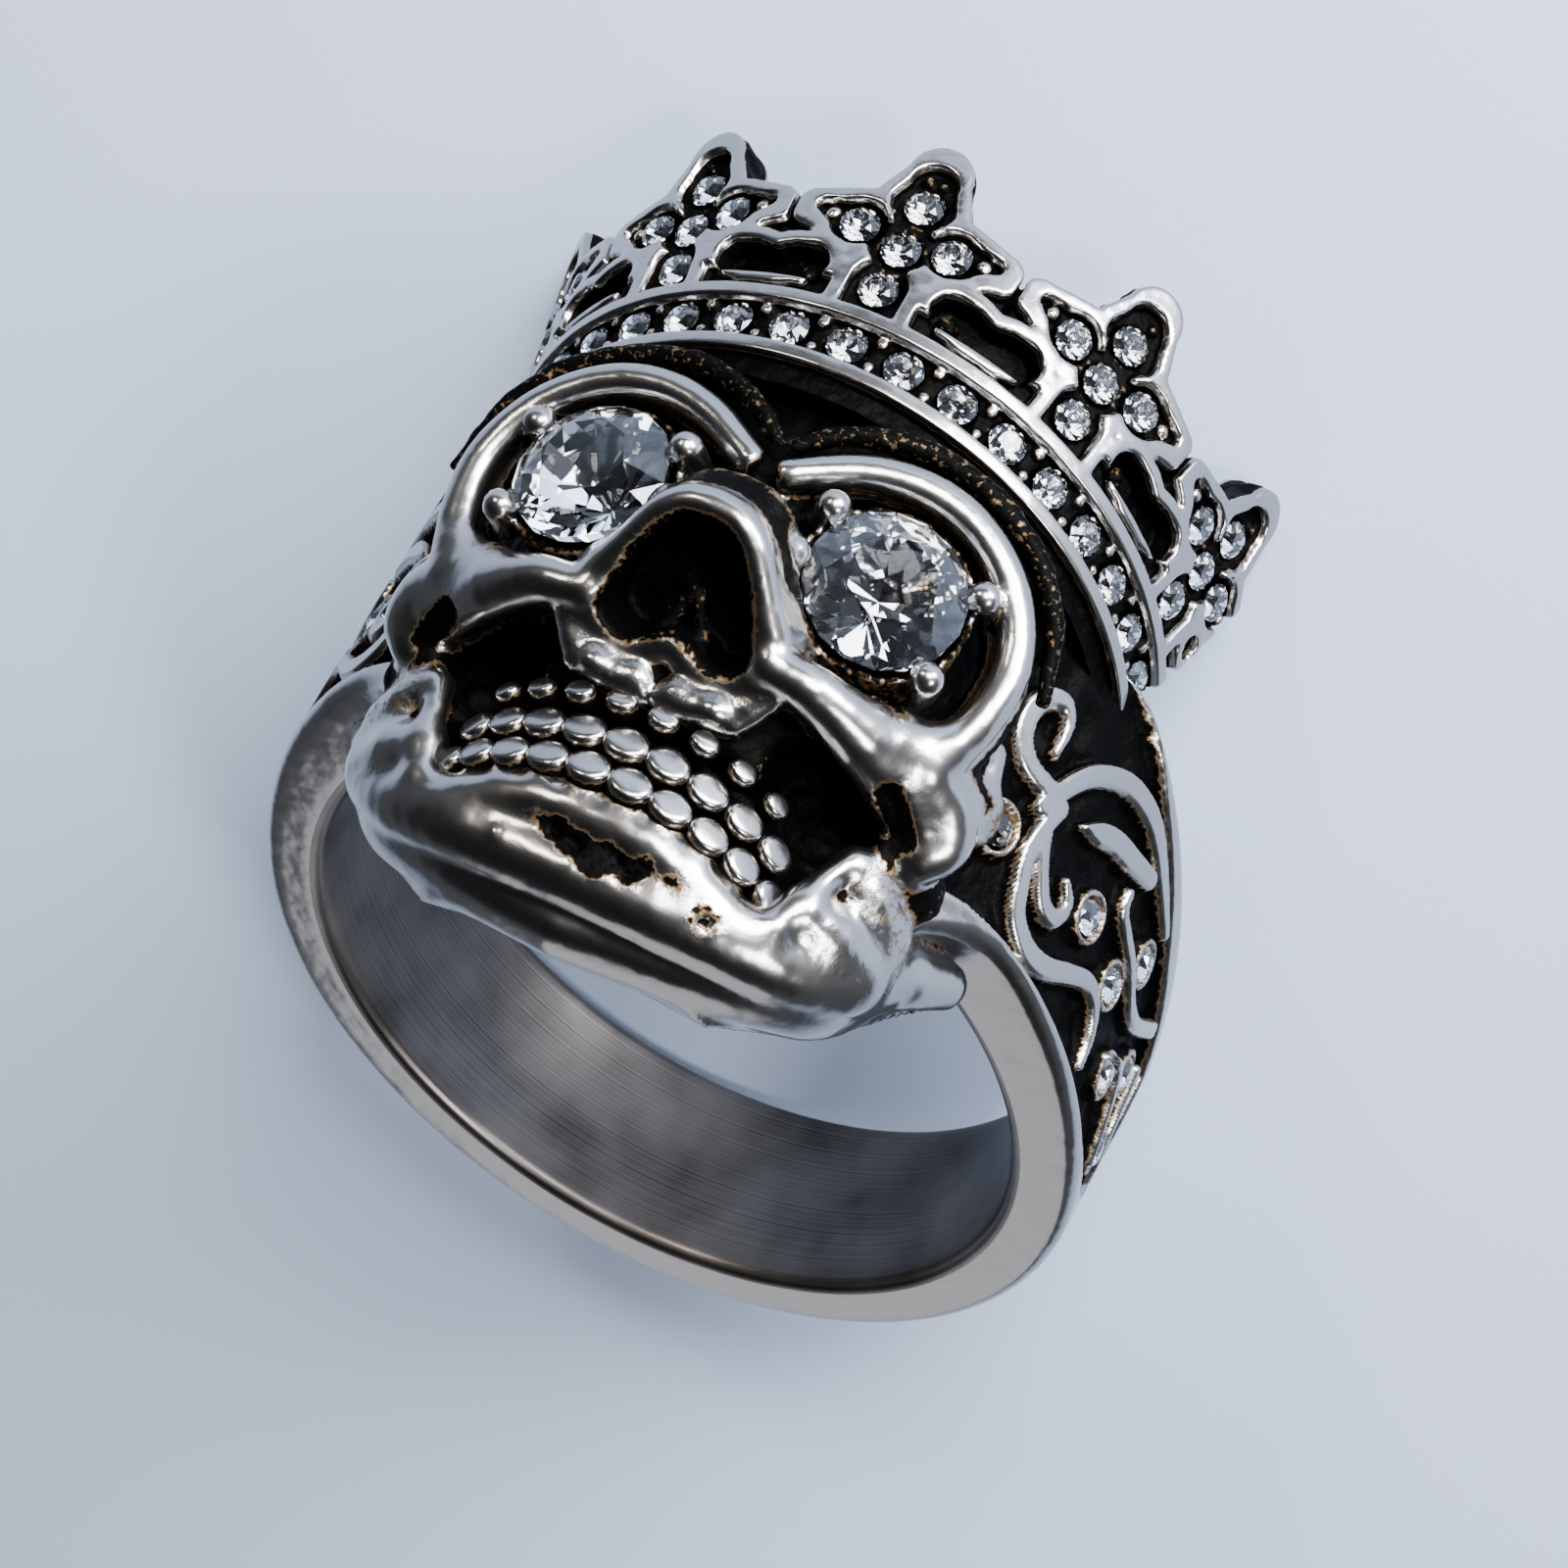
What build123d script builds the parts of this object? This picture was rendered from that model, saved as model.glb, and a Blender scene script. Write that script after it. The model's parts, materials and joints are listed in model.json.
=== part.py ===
from build123d import *
from math import asin, atan2, cos, degrees, radians, sin, sqrt, tan
import os

# A crowned skull ring, cast in one piece and set with round faceted stones.
# It is described standing as it is worn: Z runs along the finger towards the crown,
# -Y is the face and +Y the palm. At the end the whole ring is laid down on the tips
# of its crown and the rim of its band, the way it comes to rest on a table.
# All lengths are millimetres and all angles degrees.

# Band
bore_radius = 10.3
band_wall = 1.8
band_width = 6.15
band_edge_round = 0.35
rim_front = 13.6  # reach of the band towards the face, chin side
shoulder_side = 12.4  # half width of the shoulders, crown side
shoulder_front = 17.2  # reach of the shoulders towards the face, crown side
shoulder_drop = 0.3  # from the crown's stone row down to the top of the shoulders

# Skull
crown_level = 8.05  # middle of the crown's stone row above the chin side of the band
chin_drop = 6.3  # how far the jaw hangs below the band
head_half_width = 9.1
head_centre = 6.0  # from the finger's axis to the middle of the head
head_depth = 12.0  # from the middle of the head to the forehead
skullcap_rise = 1.5
cap_share = 0.95  # of the head's width, at the foot of the skullcap

# Eyes
eye_spacing = 7.38
eye_front = 16.7
eye_level = 2.51
eye_turn = 15.5  # outwards
eye_droop = 15.0  # towards the chin
eye_stone_diameter = 3.84
socket_radius = 3.0
brow_width = 0.85
brow_proud = 0.55
brow_root = 4.0  # how far the eye socket reaches back into the skull
brow_taper = 12.0
socket_depth = 0.75
eye_bead_diameter = 0.84
bead_stem_share = 0.4
eye_facets = 12

# Nose
nose_front = 17.6
nose_level = -0.25
nose_slant = 60.0
nose_half_height = 1.6
nose_lobe_spacing = 1.9
nose_lobe_radius = 0.8
nose_tip_radius = 0.35
nose_rim = 0.75
nose_cavity_depth = 2.0
nose_root = 3.6  # how far the nose reaches back into the skull
nose_round = 0.3

# Cheekbones
cheek_root = 2.4  # depth of the plate behind its corners
cheek_proud = 0.35
cheek_radius = 0.8
cheek_round = 0.3
hollow_radius = 1.35
hollow_across = 4.7
hollow_front = 14.0
hollow_level = -1.9

# Mouth
arch_half_width = 7.2
arch_depth = 4.9
arch_centre = 9.1
mouth_half_width = 5.3
mouth_top = -1.35
mouth_bottom = -4.2
tooth_radius = 0.48
tooth_proud = 0.75
teeth_across = 11
tooth_pitch = 8.3  # degrees round the dental arch

# Crown
crown_axis = 9.2  # from the finger's axis to the middle of the crown
crown_radius = 9.2
crown_flare = 15.5
crown_wall = 1.5
crown_half_span = 81.0
crown_root = 1.0  # how far the crown reaches down below its stone row
rail_offset = 0.78
rail_radius = 0.3
rail_sink = 0.05
channel_depth = 0.3
spike_count = 5
spike_pitch = 34.5
spike_height = 6.4
lobe_radius = 1.1
tip_radius = 0.5
wall_share = 0.55  # height of the wall between spikes, as a share of the spikes'
arm_share = 0.2
top_share = 0.73
field_depth = 0.3
loop_length = 2.6
loop_height = 0.95
loop_depth = 0.8
loop_rim = 0.38
loop_proud = 0.22
loop_share = 0.36  # height of the loops, as a share of the spikes'

# Small stones
stone_diameter = 1.0
crown_stones = 17
stone_pitch = 9.6
grain_radius = 0.17
grain_offset = 0.42
field_margin = 0.27
stone_facets = 8
collar = 0.2
collar_proud = 0.05

# Shoulder scrolls
relief_depth = 0.45
scroll_width = 0.62
scroll_reach = 13.0
scroll_view = 62.0  # direction, from the face round to the side, that the scrolls face

# Shared by every stone and its seat
clearance = 0.06

# Shares of a stone's diameter
table_share = 0.56
crown_share = 0.16
girdle_share = 0.05
pavilion_share = 0.40
culet_share = 0.08

band_radius = bore_radius + band_wall
spike_wall_width = 2 * crown_radius * tan(radians(spike_pitch / 2)) * 1.12
brow_foot = (brow_root + brow_proud) * tan(radians(brow_taper))
upright = Vector(0, 0, 1)

# Head sections from the chin up: height, in chin drops below the band and in crown levels
# above it, then half width and depth as shares of the head's own.
head_sections = [
    ("chin edge", -1.0, 0.30, 0.46),
    ("chin", -0.89, 0.49, 0.54),
    ("lower lip", -0.66, 0.65, 0.64),
    ("upper lip", -0.32, 0.77, 0.775),
    ("cheek", 0.0, 0.87, 0.85),
    ("eye", 0.36, 0.965, 0.88),
    ("forehead", 0.75, 0.985, 0.94),
    ("crown seat", 1.0, 1.0, 1.0),
]

# Teeth rows: level as a share of the mouth's height from its bottom, reach beyond the
# dental arch as a share of a tooth's own.
teeth_rows = [
    ("lower teeth", 0.25, 0.75),
    ("upper teeth", 0.55, 1.0),
    ("roots", 0.84, 0.8),
]

# Cheekbone corners: across, towards the face and up, as shares of the head's half width,
# the nose's front and the crown's level.
cheek_corners = [
    ("inner top", 0.33, 0.93, -0.06),
    ("outer top", 0.80, 0.775, 0.20),
    ("hook tip", 0.72, 0.72, -0.19),
]

# Beads that hold an eye stone: direction round the stone, seen from in front.
eye_bead_angles = [152.0, 191.0, 30.0, 324.0]

# Stones of a spike: place along and up the crown, as shares of the spike's height.
spike_stones = [
    ("bottom", 0.0, 0.275),
    ("middle", 0.0, 0.475),
    ("top", 0.0, 0.69),
    ("left", -0.19, 0.52),
    ("right", 0.19, 0.52),
]

# Grains between a spike's stones, as shares of the spike's height.
spike_grain_shares = [(-0.11, 0.365), (0.11, 0.365), (-0.11, 0.60), (0.11, 0.60)]

# Scroll strokes on a shoulder: three points of an arc, each as degrees round the finger
# and a share of the band's width.
scroll_arcs = [
    ("hook, lower", (37.0, 0.60), (31.0, 0.63), (29.5, 0.78)),
    ("hook, upper", (29.5, 0.78), (31.5, 0.88), (33.5, 0.80)),
    ("crest, rising", (37.0, 0.60), (42.0, 0.95), (53.0, 1.02)),
    ("crest, falling", (53.0, 1.02), (58.0, 1.0), (64.0, 0.94)),
    ("leaf", (42.0, 0.70), (50.0, 0.80), (58.0, 0.96)),
    ("tail", (38.0, 0.62), (40.5, 0.34), (45.5, 0.28)),
    ("tail curl", (45.5, 0.28), (47.2, 0.36), (44.0, 0.44)),
    ("stem", (38.0, 0.60), (37.2, 0.32), (43.0, 0.13)),
    ("stem, middle", (43.0, 0.13), (49.0, 0.08), (54.0, 0.27)),
    ("stem, end", (54.0, 0.27), (60.0, 0.37), (66.0, 0.18)),
    ("branch", (56.0, 0.74), (55.0, 0.58), (60.0, 0.50)),
    ("branch, end", (60.0, 0.50), (70.0, 0.55), (82.0, 0.80)),
    ("crown-side border", (40.0, 1.10), (62.0, 1.08), (90.0, 0.94)),
]

# Corners of the sunk field on a shoulder.
field_corners = [
    (24.0, 0.05),
    (90.0, 0.08),
    (98.0, 0.30),
    (98.0, 0.88),
    (90.0, 0.94),
    (40.0, 1.20),
    (24.0, 1.25),
]

# Shoulder stones: degrees round the finger and share of the band's width.
shoulder_stones = [
    (34.0, 0.34),
    (51.0, 0.50),
    (66.0, 0.78),
    (61.5, 0.50),
    (73.0, 0.36),
    (80.0, 0.58),
    (88.0, 0.34),
]


def band_outline(level, side, front, inset=0.0):
    """Half a circle round the palm and half an ellipse towards the face."""
    with BuildSketch(Plane.XY.offset(level)) as outline:
        with BuildLine():
            CenterArc((0, 0), side - inset, 0, 180)
            EllipticalCenterArc((0, 0), side - inset, front - inset, 180, arc_size=180)
        make_face()
    return outline.sketch


def band_reach(level):
    """Reach of the band's outside to the sides and the palm, and towards the face."""
    rise = level / crown_level
    side = band_radius + (shoulder_side - band_radius) * rise
    front = rim_front + (shoulder_front - rim_front) * rise
    return side, front


def shoulder_place(turn, share):
    """Point and outward direction on the band's outside."""
    level = share * band_width
    side, front = band_reach(level)
    reach = 1 / sqrt((sin(radians(turn)) / side) ** 2 + (cos(radians(turn)) / front) ** 2)
    point = Vector(reach * sin(radians(turn)), -reach * cos(radians(turn)), level)
    outward = Vector(point.X / side**2, point.Y / front**2, 0).normalized()
    return Plane(origin=point, x_dir=outward.cross(upright) * -1, z_dir=outward)


def scroll_point(turn, share):
    """Point of a stroke on the plane that the scrolls are drawn on."""
    return (scroll_reach * sin(radians(turn - scroll_view)), share * band_width)


def crown_place(turn, level):
    """Plane on the crown's outer face: x along the crown, y up its slope, z out of it."""
    reach = crown_radius + (level - crown_level) * tan(radians(crown_flare))
    across = Vector(sin(radians(turn)), -cos(radians(turn)), 0)
    outward = across * cos(radians(crown_flare)) - upright * sin(radians(crown_flare))
    return Plane(
        origin=(reach * across.X, reach * across.Y - crown_axis, level),
        x_dir=(cos(radians(turn)), sin(radians(turn)), 0),
        z_dir=outward,
    )


def eye_place(side):
    """Plane through an eye stone's girdle, side -1 for the left eye and 1 for the right."""
    outward = Vector(
        side * sin(radians(eye_turn)) * cos(radians(eye_droop)),
        -cos(radians(eye_turn)) * cos(radians(eye_droop)),
        -sin(radians(eye_droop)),
    )
    return Plane(
        origin=(side * eye_spacing / 2, -eye_front, eye_level),
        x_dir=(side * cos(radians(eye_turn)), sin(radians(eye_turn)), 0),
        z_dir=outward,
    )


def ring_profile(places):
    """Closed outline through (radius from the crown's axis, level) points."""
    start = Plane.XZ.offset(crown_axis)
    with BuildSketch(start) as profile:
        with BuildLine():
            Polyline(*places, close=True)
        make_face()
    return profile.sketch


def crown_face_radius(level):
    return crown_radius + (level - crown_level) * tan(radians(crown_flare))


def crown_shell(depth, proud, low, high):
    """Profile of a conical layer from `depth` inside the crown's face to `proud` outside."""
    return ring_profile(
        [
            (crown_face_radius(low) - depth, low),
            (crown_face_radius(low) + proud, low),
            (crown_face_radius(high) + proud, high),
            (crown_face_radius(high) - depth, high),
        ]
    )


def sweep_round_crown(profile, half_span, mode=Mode.ADD):
    """Turn a profile round the crown's axis, `half_span` degrees each side of the face."""
    crown_line = Axis((0, -crown_axis, 0), (0, 0, 1))
    start = profile.rotate(crown_line, -90 - half_span)
    revolve(start, axis=crown_line, revolution_arc=2 * half_span, mode=mode)


def faceted_outline(place, radius, sides):
    with BuildSketch(place) as outline:
        RegularPolygon(radius, sides)
    return outline.sketch


def brilliant(place, diameter, sides):
    """A round stone with its girdle on `place`: flat table, crown facets, pavilion."""
    radius = diameter / 2
    crown = crown_share * diameter
    girdle = girdle_share * diameter
    pavilion = pavilion_share * diameter
    edge = faceted_outline(place, radius, sides)
    edge_top = faceted_outline(place.offset(girdle), radius, sides)
    table = faceted_outline(place.offset(girdle + crown), radius * table_share, sides)
    culet = faceted_outline(place.offset(-pavilion), radius * culet_share, sides)
    loft([culet, edge, edge_top, table], ruled=True)


def seat_depth(diameter):
    return pavilion_share * diameter + clearance


def round_post(place, radius, bottom, top, mode=Mode.ADD, taper=0.0):
    """Round boss or hole between two heights above a place."""
    with BuildSketch(place.offset(bottom)) as outline:
        Circle(radius)
    extrude(outline.sketch, amount=top - bottom, taper=taper, mode=mode)


def seat(place, diameter, rise):
    """Round hole that a stone drops into, open `rise` above its girdle."""
    round_post(place, diameter / 2 + clearance, -seat_depth(diameter), rise)


# Places of the stones
row_turns = [(i - (crown_stones - 1) / 2) * stone_pitch for i in range(crown_stones)]
row_places = [crown_place(turn, crown_level).offset(-channel_depth) for turn in row_turns]
spike_turns = [(i - (spike_count - 1) / 2) * spike_pitch for i in range(spike_count)]


def spike_field(turn):
    """Floor of a spike's sunk field, its origin level with the row of stones."""
    return crown_place(turn, crown_level).offset(-field_depth)


def on_spike(share_along, share_up):
    """Point on a spike's own plane, from shares of the spike's height."""
    return (share_along * spike_height, share_up * spike_height)


def spike_stone_places(turn):
    """Seats of one spike's stones, side by side on the floor of its field."""
    floor = spike_field(turn)
    points = [on_spike(along, up) for _, along, up in spike_stones]
    return [
        Plane(floor.from_local_coords(Vector(*point, 0)), x_dir=floor.x_dir, z_dir=floor.z_dir)
        for point in points
    ]


shoulder_places = [shoulder_place(*stone).offset(-relief_depth / 2) for stone in shoulder_stones]

# Outside of the band and its shoulders, and the same form sunk by the depth of the relief.
# Both are wider than the band at the crown side and are trimmed to its sloping edge.
form_top = crown_level + crown_root


def band_form(inset, mode=Mode.ADD):
    low = band_outline(0, *band_reach(0), inset)
    high = band_outline(form_top, *band_reach(form_top), inset)
    return loft([low, high], ruled=True, mode=mode)


def bore():
    """The finger hole, through everything from the chin to above the crown."""
    with BuildSketch(Plane.XY.offset(-2 * chin_drop)) as hole:
        Circle(bore_radius)
    extrude(hole.sketch, amount=4 * (chin_drop + crown_level), mode=Mode.SUBTRACT)


with BuildPart() as band:
    band_form(0)
    with BuildSketch(Plane.YZ) as side_view:
        with BuildLine():
            Polyline(
                (2 * band_radius, -1),
                (2 * band_radius, band_width),
                (0, band_width),
                (-crown_axis, crown_level - shoulder_drop),
                (-2 * shoulder_front, crown_level - shoulder_drop),
                (-2 * shoulder_front, -1),
                close=True,
            )
        make_face()
    extrude(side_view.sketch, amount=2 * shoulder_side, both=True, mode=Mode.INTERSECT)
    palm_rims = band.edges().filter_by(GeomType.CIRCLE).filter_by(lambda edge: edge.center().Y > 0)
    fillet(palm_rims, radius=band_edge_round)
    bore()
    bore_rims = band.edges().filter_by(GeomType.CIRCLE)
    bore_rims = bore_rims.filter_by(lambda edge: edge.radius < bore_radius + band_edge_round)
    fillet(bore_rims.sort_by(Axis.Z)[0], radius=band_edge_round)

# Black field sunk into the right shoulder round the scrolls, which keep the band's surface
scroll_plane = Plane(
    origin=(0, 0, 0),
    x_dir=(cos(radians(scroll_view)), sin(radians(scroll_view)), 0),
    z_dir=(sin(radians(scroll_view)), -cos(radians(scroll_view)), 0),
)
with BuildPart() as shoulder_field:
    with BuildSketch(scroll_plane) as field_outline:
        with BuildLine():
            Polyline(*[scroll_point(*corner) for corner in field_corners], close=True)
        make_face()
        for _, first, middle, last in scroll_arcs:
            with BuildLine(mode=Mode.PRIVATE) as stroke:
                ThreePointArc(scroll_point(*first), scroll_point(*middle), scroll_point(*last))
            SlotArc(stroke.edges()[0], scroll_width, mode=Mode.SUBTRACT)
    extrude(field_outline.sketch, amount=2 * scroll_reach)
    band_form(relief_depth, mode=Mode.SUBTRACT)

# The skull without its features
with BuildPart() as head:
    sections = []
    for _, rise, half_width, depth in head_sections:
        level = rise * (crown_level if rise > 0 else chin_drop)
        with BuildSketch(Plane.XY.offset(level)) as section:
            with Locations((0, -head_centre)):
                Ellipse(head_half_width * half_width, head_depth * depth)
        sections.append(section.sketch)
    loft(sections)
    cap_sections = []
    for rise, share in ((0, cap_share), (skullcap_rise, cap_share**4)):
        with BuildSketch(Plane.XY.offset(crown_level + rise)) as section:
            with Locations((0, -head_centre)):
                Ellipse(head_half_width * share, head_depth * share)
        cap_sections.append(section.sketch)
    loft(cap_sections, ruled=True)
    with BuildSketch(Plane.XY.offset(mouth_bottom)) as mouth:
        with Locations((0, -arch_centre - 2 * arch_depth)):
            Rectangle(2 * mouth_half_width, 4 * arch_depth)
        with Locations((0, -arch_centre)):
            Ellipse(arch_half_width, arch_depth, mode=Mode.SUBTRACT)
    extrude(mouth.sketch, amount=mouth_top - mouth_bottom, mode=Mode.SUBTRACT)

# Rows of round teeth on the dental arch
with BuildPart() as teeth:
    for _, share, proud in teeth_rows:
        level = mouth_bottom + share * (mouth_top - mouth_bottom)
        half_width = arch_half_width + tooth_proud * proud - tooth_radius
        depth = arch_depth + tooth_proud * proud - tooth_radius
        turns = [radians((i - (teeth_across - 1) / 2) * tooth_pitch) for i in range(teeth_across)]
        with Locations(
            *[(half_width * sin(turn), -arch_centre - depth * cos(turn), level) for turn in turns]
        ):
            Sphere(tooth_radius)

# The nose: a rim round a cavity like a heart with its point up
nose_plane = Plane(
    origin=(0, -nose_front, nose_level),
    x_dir=(1, 0, 0),
    z_dir=(0, -cos(radians(nose_slant)), -sin(radians(nose_slant))),
)
nose_top = (0, nose_half_height - nose_tip_radius)
nose_lobes = [
    (side * nose_lobe_spacing / 2, nose_lobe_radius - nose_half_height) for side in (-1, 1)
]


def joined_circles(*circles):
    """Outline drawn tight round circles given as centre and radius."""
    with BuildSketch() as outline:
        for centre, radius in circles:
            with Locations(centre):
                Circle(radius)
        make_hull(outline.edges())
    return outline.sketch


with BuildPart() as nose:
    with BuildSketch(nose_plane) as nose_outline:
        add(
            joined_circles(
                (nose_top, nose_tip_radius + nose_rim),
                (nose_lobes[0], nose_lobe_radius + nose_rim),
                (nose_lobes[1], nose_lobe_radius + nose_rim),
            )
        )
    extrude(nose_outline.sketch, amount=-nose_root)
    with BuildSketch(nose_plane) as cavity:
        for lobe_centre in nose_lobes:
            add(joined_circles((nose_top, nose_tip_radius), (lobe_centre, nose_lobe_radius)))
    front = nose.faces().sort_by(Axis(nose_plane.origin, nose_plane.z_dir))[-1]
    fillet(front.edges(), radius=nose_round)

# Right cheekbone: a rounded plate over three corners
cheek_points = [
    Vector(across * head_half_width, -front * nose_front, up * crown_level)
    for _, across, front, up in cheek_corners
]
cheek_along = cheek_points[1] - cheek_points[0]
cheek_outward = cheek_along.cross(cheek_points[2] - cheek_points[0]) * -1
cheek_plane = Plane(origin=cheek_points[0], x_dir=cheek_along, z_dir=cheek_outward)
with BuildPart() as cheekbone:
    with BuildSketch(cheek_plane.offset(-cheek_root)) as plate:
        corners = [cheek_plane.to_local_coords(point) for point in cheek_points]
        add(joined_circles(*[((corner.X, corner.Y), cheek_radius) for corner in corners]))
    extrude(plate.sketch, amount=cheek_root + cheek_proud)
    top_face = cheekbone.faces().sort_by(Axis(cheek_plane.origin, cheek_plane.z_dir))[-1]
    fillet(top_face.edges(), radius=cheek_round)


def spike_outline():
    """A trefoil spike and its share of the wall below, seen square to the crown."""
    with BuildSketch() as outline:
        with Locations((0, spike_height * (wall_share / 2 - crown_root / spike_height))):
            Rectangle(spike_wall_width, spike_height * wall_share + crown_root)
        for _, along, up in spike_stones:
            with Locations((along * spike_height, up * spike_height)):
                Circle(lobe_radius)
        add(
            joined_circles(
                ((0, top_share * spike_height), lobe_radius),
                ((0, spike_height - tip_radius), tip_radius),
            )
        )
        for side in (-1, 1):
            arm = (side * arm_share * spike_height, wall_share * spike_height)
            end = (side * (spike_wall_width / 2 - tip_radius), wall_share * spike_height)
            add(joined_circles((arm, lobe_radius), (end, tip_radius)))
    return outline.sketch


with BuildPart() as spikes:
    for turn in spike_turns:
        with BuildSketch(crown_place(turn, crown_level).offset(-2 * crown_wall)) as spike:
            add(spike_outline())
        extrude(spike.sketch, amount=4 * crown_wall)

# Crown: a flared wall cut to the spikes' outline, with rails, a channel and loops
with BuildPart() as crown:
    wall_foot = crown_level - crown_root
    wall_head = crown_level + spike_height + crown_wall * sin(radians(crown_flare))
    sweep_round_crown(crown_shell(crown_wall, 0, wall_foot, wall_head), crown_half_span)
    add(spikes.part, mode=Mode.INTERSECT)
    channel_low = crown_level - rail_offset
    channel_high = crown_level + rail_offset
    sweep_round_crown(
        crown_shell(channel_depth, crown_wall, channel_low, channel_high), 90, Mode.SUBTRACT
    )
    for level in (channel_low, channel_high):
        with BuildSketch(Plane.XZ.offset(crown_axis)) as rail:
            with Locations((crown_face_radius(level) - rail_sink, level)):
                Circle(rail_radius)
        sweep_round_crown(rail.sketch, crown_half_span)
    for turn in spike_turns[:-1]:
        level = crown_level + loop_share * spike_height * cos(radians(crown_flare))
        place = crown_place(turn + spike_pitch / 2, level)
        with BuildSketch(place.offset(-loop_depth)) as loop_edge:
            SlotOverall(loop_length + 2 * loop_rim, loop_height + 2 * loop_rim)
        extrude(loop_edge.sketch, amount=loop_depth + loop_proud)
        with BuildSketch(place.offset(-loop_depth)) as loop:
            SlotOverall(loop_length, loop_height)
        extrude(loop.sketch, amount=2 * loop_depth, mode=Mode.SUBTRACT)

# Seats of all the stones, cut from the casting in one go
eye_places = [eye_place(-1), eye_place(1)]
spike_places = [spike_stone_places(turn) for turn in spike_turns]
left_places = [
    Plane(
        origin=(-place.origin.X, place.origin.Y, place.origin.Z),
        x_dir=(place.x_dir.X, -place.x_dir.Y, place.x_dir.Z),
        z_dir=(-place.z_dir.X, place.z_dir.Y, place.z_dir.Z),
    )
    for place in shoulder_places
]
with BuildPart() as seats:
    for place in row_places + shoulder_places + left_places:
        seat(place, stone_diameter, 2 * relief_depth)
    for turn in spike_turns:
        floor = spike_field(turn)
        with BuildSketch(floor) as field:
            with Locations(*[on_spike(along, up) for _, along, up in spike_stones]):
                Circle(stone_diameter / 2 + field_margin)
        extrude(field.sketch, amount=2 * field_depth)
        with BuildSketch(floor.offset(-seat_depth(stone_diameter))) as holes:
            with Locations(*[on_spike(along, up) for _, along, up in spike_stones]):
                Circle(stone_diameter / 2 + clearance)
        extrude(holes.sketch, amount=seat_depth(stone_diameter) + field_depth)
    for place in eye_places:
        radius = eye_stone_diameter / 2 + clearance
        with BuildSketch(place.offset(-seat_depth(eye_stone_diameter))) as culet:
            Circle(culet_share * radius + clearance)
        with BuildSketch(place) as girdle:
            Circle(radius)
        loft([culet.sketch, girdle.sketch], ruled=True)
        extrude(girdle.sketch, amount=socket_depth)

# Collars round the stones that stand clear of the surface
with BuildPart() as collars:
    for place in shoulder_places + left_places:
        round_post(place, stone_diameter / 2 + clearance + collar, -relief_depth, collar_proud)
    for place in eye_places:
        round_post(place, eye_stone_diameter / 2 + clearance + collar, -socket_depth, -collar_proud)


def grains(places, radius):
    """Small round beads raised between the stones to hold them."""
    with Locations(*[place.location for place in places]):
        Sphere(radius)


grain_places = [
    crown_place(turn + stone_pitch / 2, crown_level + side * grain_offset).offset(-channel_depth)
    for turn in row_turns[:-1]
    for side in (-1, 1)
]
spike_grains = [
    Plane(spike_field(turn).from_local_coords(Vector(*on_spike(*shares), 0)))
    for turn in spike_turns
    for shares in spike_grain_shares
]
eye_bead_reach = (eye_stone_diameter + eye_bead_diameter) / 2 + clearance


def eye_bead_place(place, side, angle):
    """Plane of a bead that holds an eye stone. The left eye's own y axis points down."""
    along = eye_bead_reach * cos(radians(angle))
    up = side * eye_bead_reach * sin(radians(angle))
    return Plane(place.from_local_coords(Vector(along, up, 0)), z_dir=place.z_dir)


with BuildPart() as eye_beads:
    for place, side in zip(eye_places, (-1, 1)):
        bead_places = [eye_bead_place(place, side, angle) for angle in eye_bead_angles]
        for bead_place in bead_places:
            round_post(bead_place, bead_stem_share * eye_bead_diameter, -socket_depth, 0)
        grains(bead_places, eye_bead_diameter / 2)

with BuildPart() as brows:
    for place in eye_places:
        foot = socket_radius + brow_width + brow_foot
        round_post(place, foot, -brow_root, brow_proud, taper=brow_taper)

with BuildPart() as hollows:
    for place in eye_places:
        round_post(place, socket_radius, -socket_depth, socket_depth + brow_proud)
    for side in (-1, 1):
        with Locations((side * hollow_across, -hollow_front, hollow_level)):
            Sphere(hollow_radius)
    extrude(cavity.sketch, amount=-nose_cavity_depth)
    extrude(cavity.sketch, amount=nose_round)

# The cast ring in one solid
mirrored = Plane.YZ
with BuildPart() as ring_body:
    add(band.part)
    add([shoulder_field.part, shoulder_field.part.mirror(mirrored)], mode=Mode.SUBTRACT)
    add([head.part, nose.part, brows.part, cheekbone.part, cheekbone.part.mirror(mirrored)])
    add(hollows.part, mode=Mode.SUBTRACT)
    add([crown.part, teeth.part, collars.part, eye_beads.part])
    add(seats.part, mode=Mode.SUBTRACT)
    grains(grain_places + spike_grains, grain_radius)
    bore()

# The ring is laid on the tips of its outer spikes and the crown-side rim of its palm:
# the floor touches both of these round edges.
tip_face = crown_place(spike_turns[0], crown_level).offset(-crown_wall * cos(radians(crown_flare)))
tip = tip_face.from_local_coords(Vector(0, spike_height - tip_radius, 0))
tip_round = tip_radius * cos(radians(crown_flare))
palm_reach, _ = band_reach(band_width)
rim = Vector(0, palm_reach - band_edge_round, band_width - band_edge_round)
foot_span = sqrt((tip.Z - rim.Z) ** 2 + (rim.Y - tip.Y) ** 2)
lean = atan2(tip.Z - rim.Z, rim.Y - tip.Y)
tilt = degrees(lean + asin((tip_round - band_edge_round) / foot_span))
turned = Location((0, 0, 0), (-tilt, 0, 0)) * Location((0, 0, 0), (0, 180, 0))
box = ring_body.part.moved(turned).bounding_box()
laid = Location((-box.center().X, -box.center().Y, -box.min.Z)) * turned

os.makedirs("parts", exist_ok=True)


def lay_and_write(piece, label):
    """Lay a finished piece with the ring, name it and write its file."""
    piece.part = piece.part.moved(laid)
    piece.part.label = label
    export_step(piece.part, f"parts/{label}.step")


lay_and_write(ring_body, "ring_body")

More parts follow.
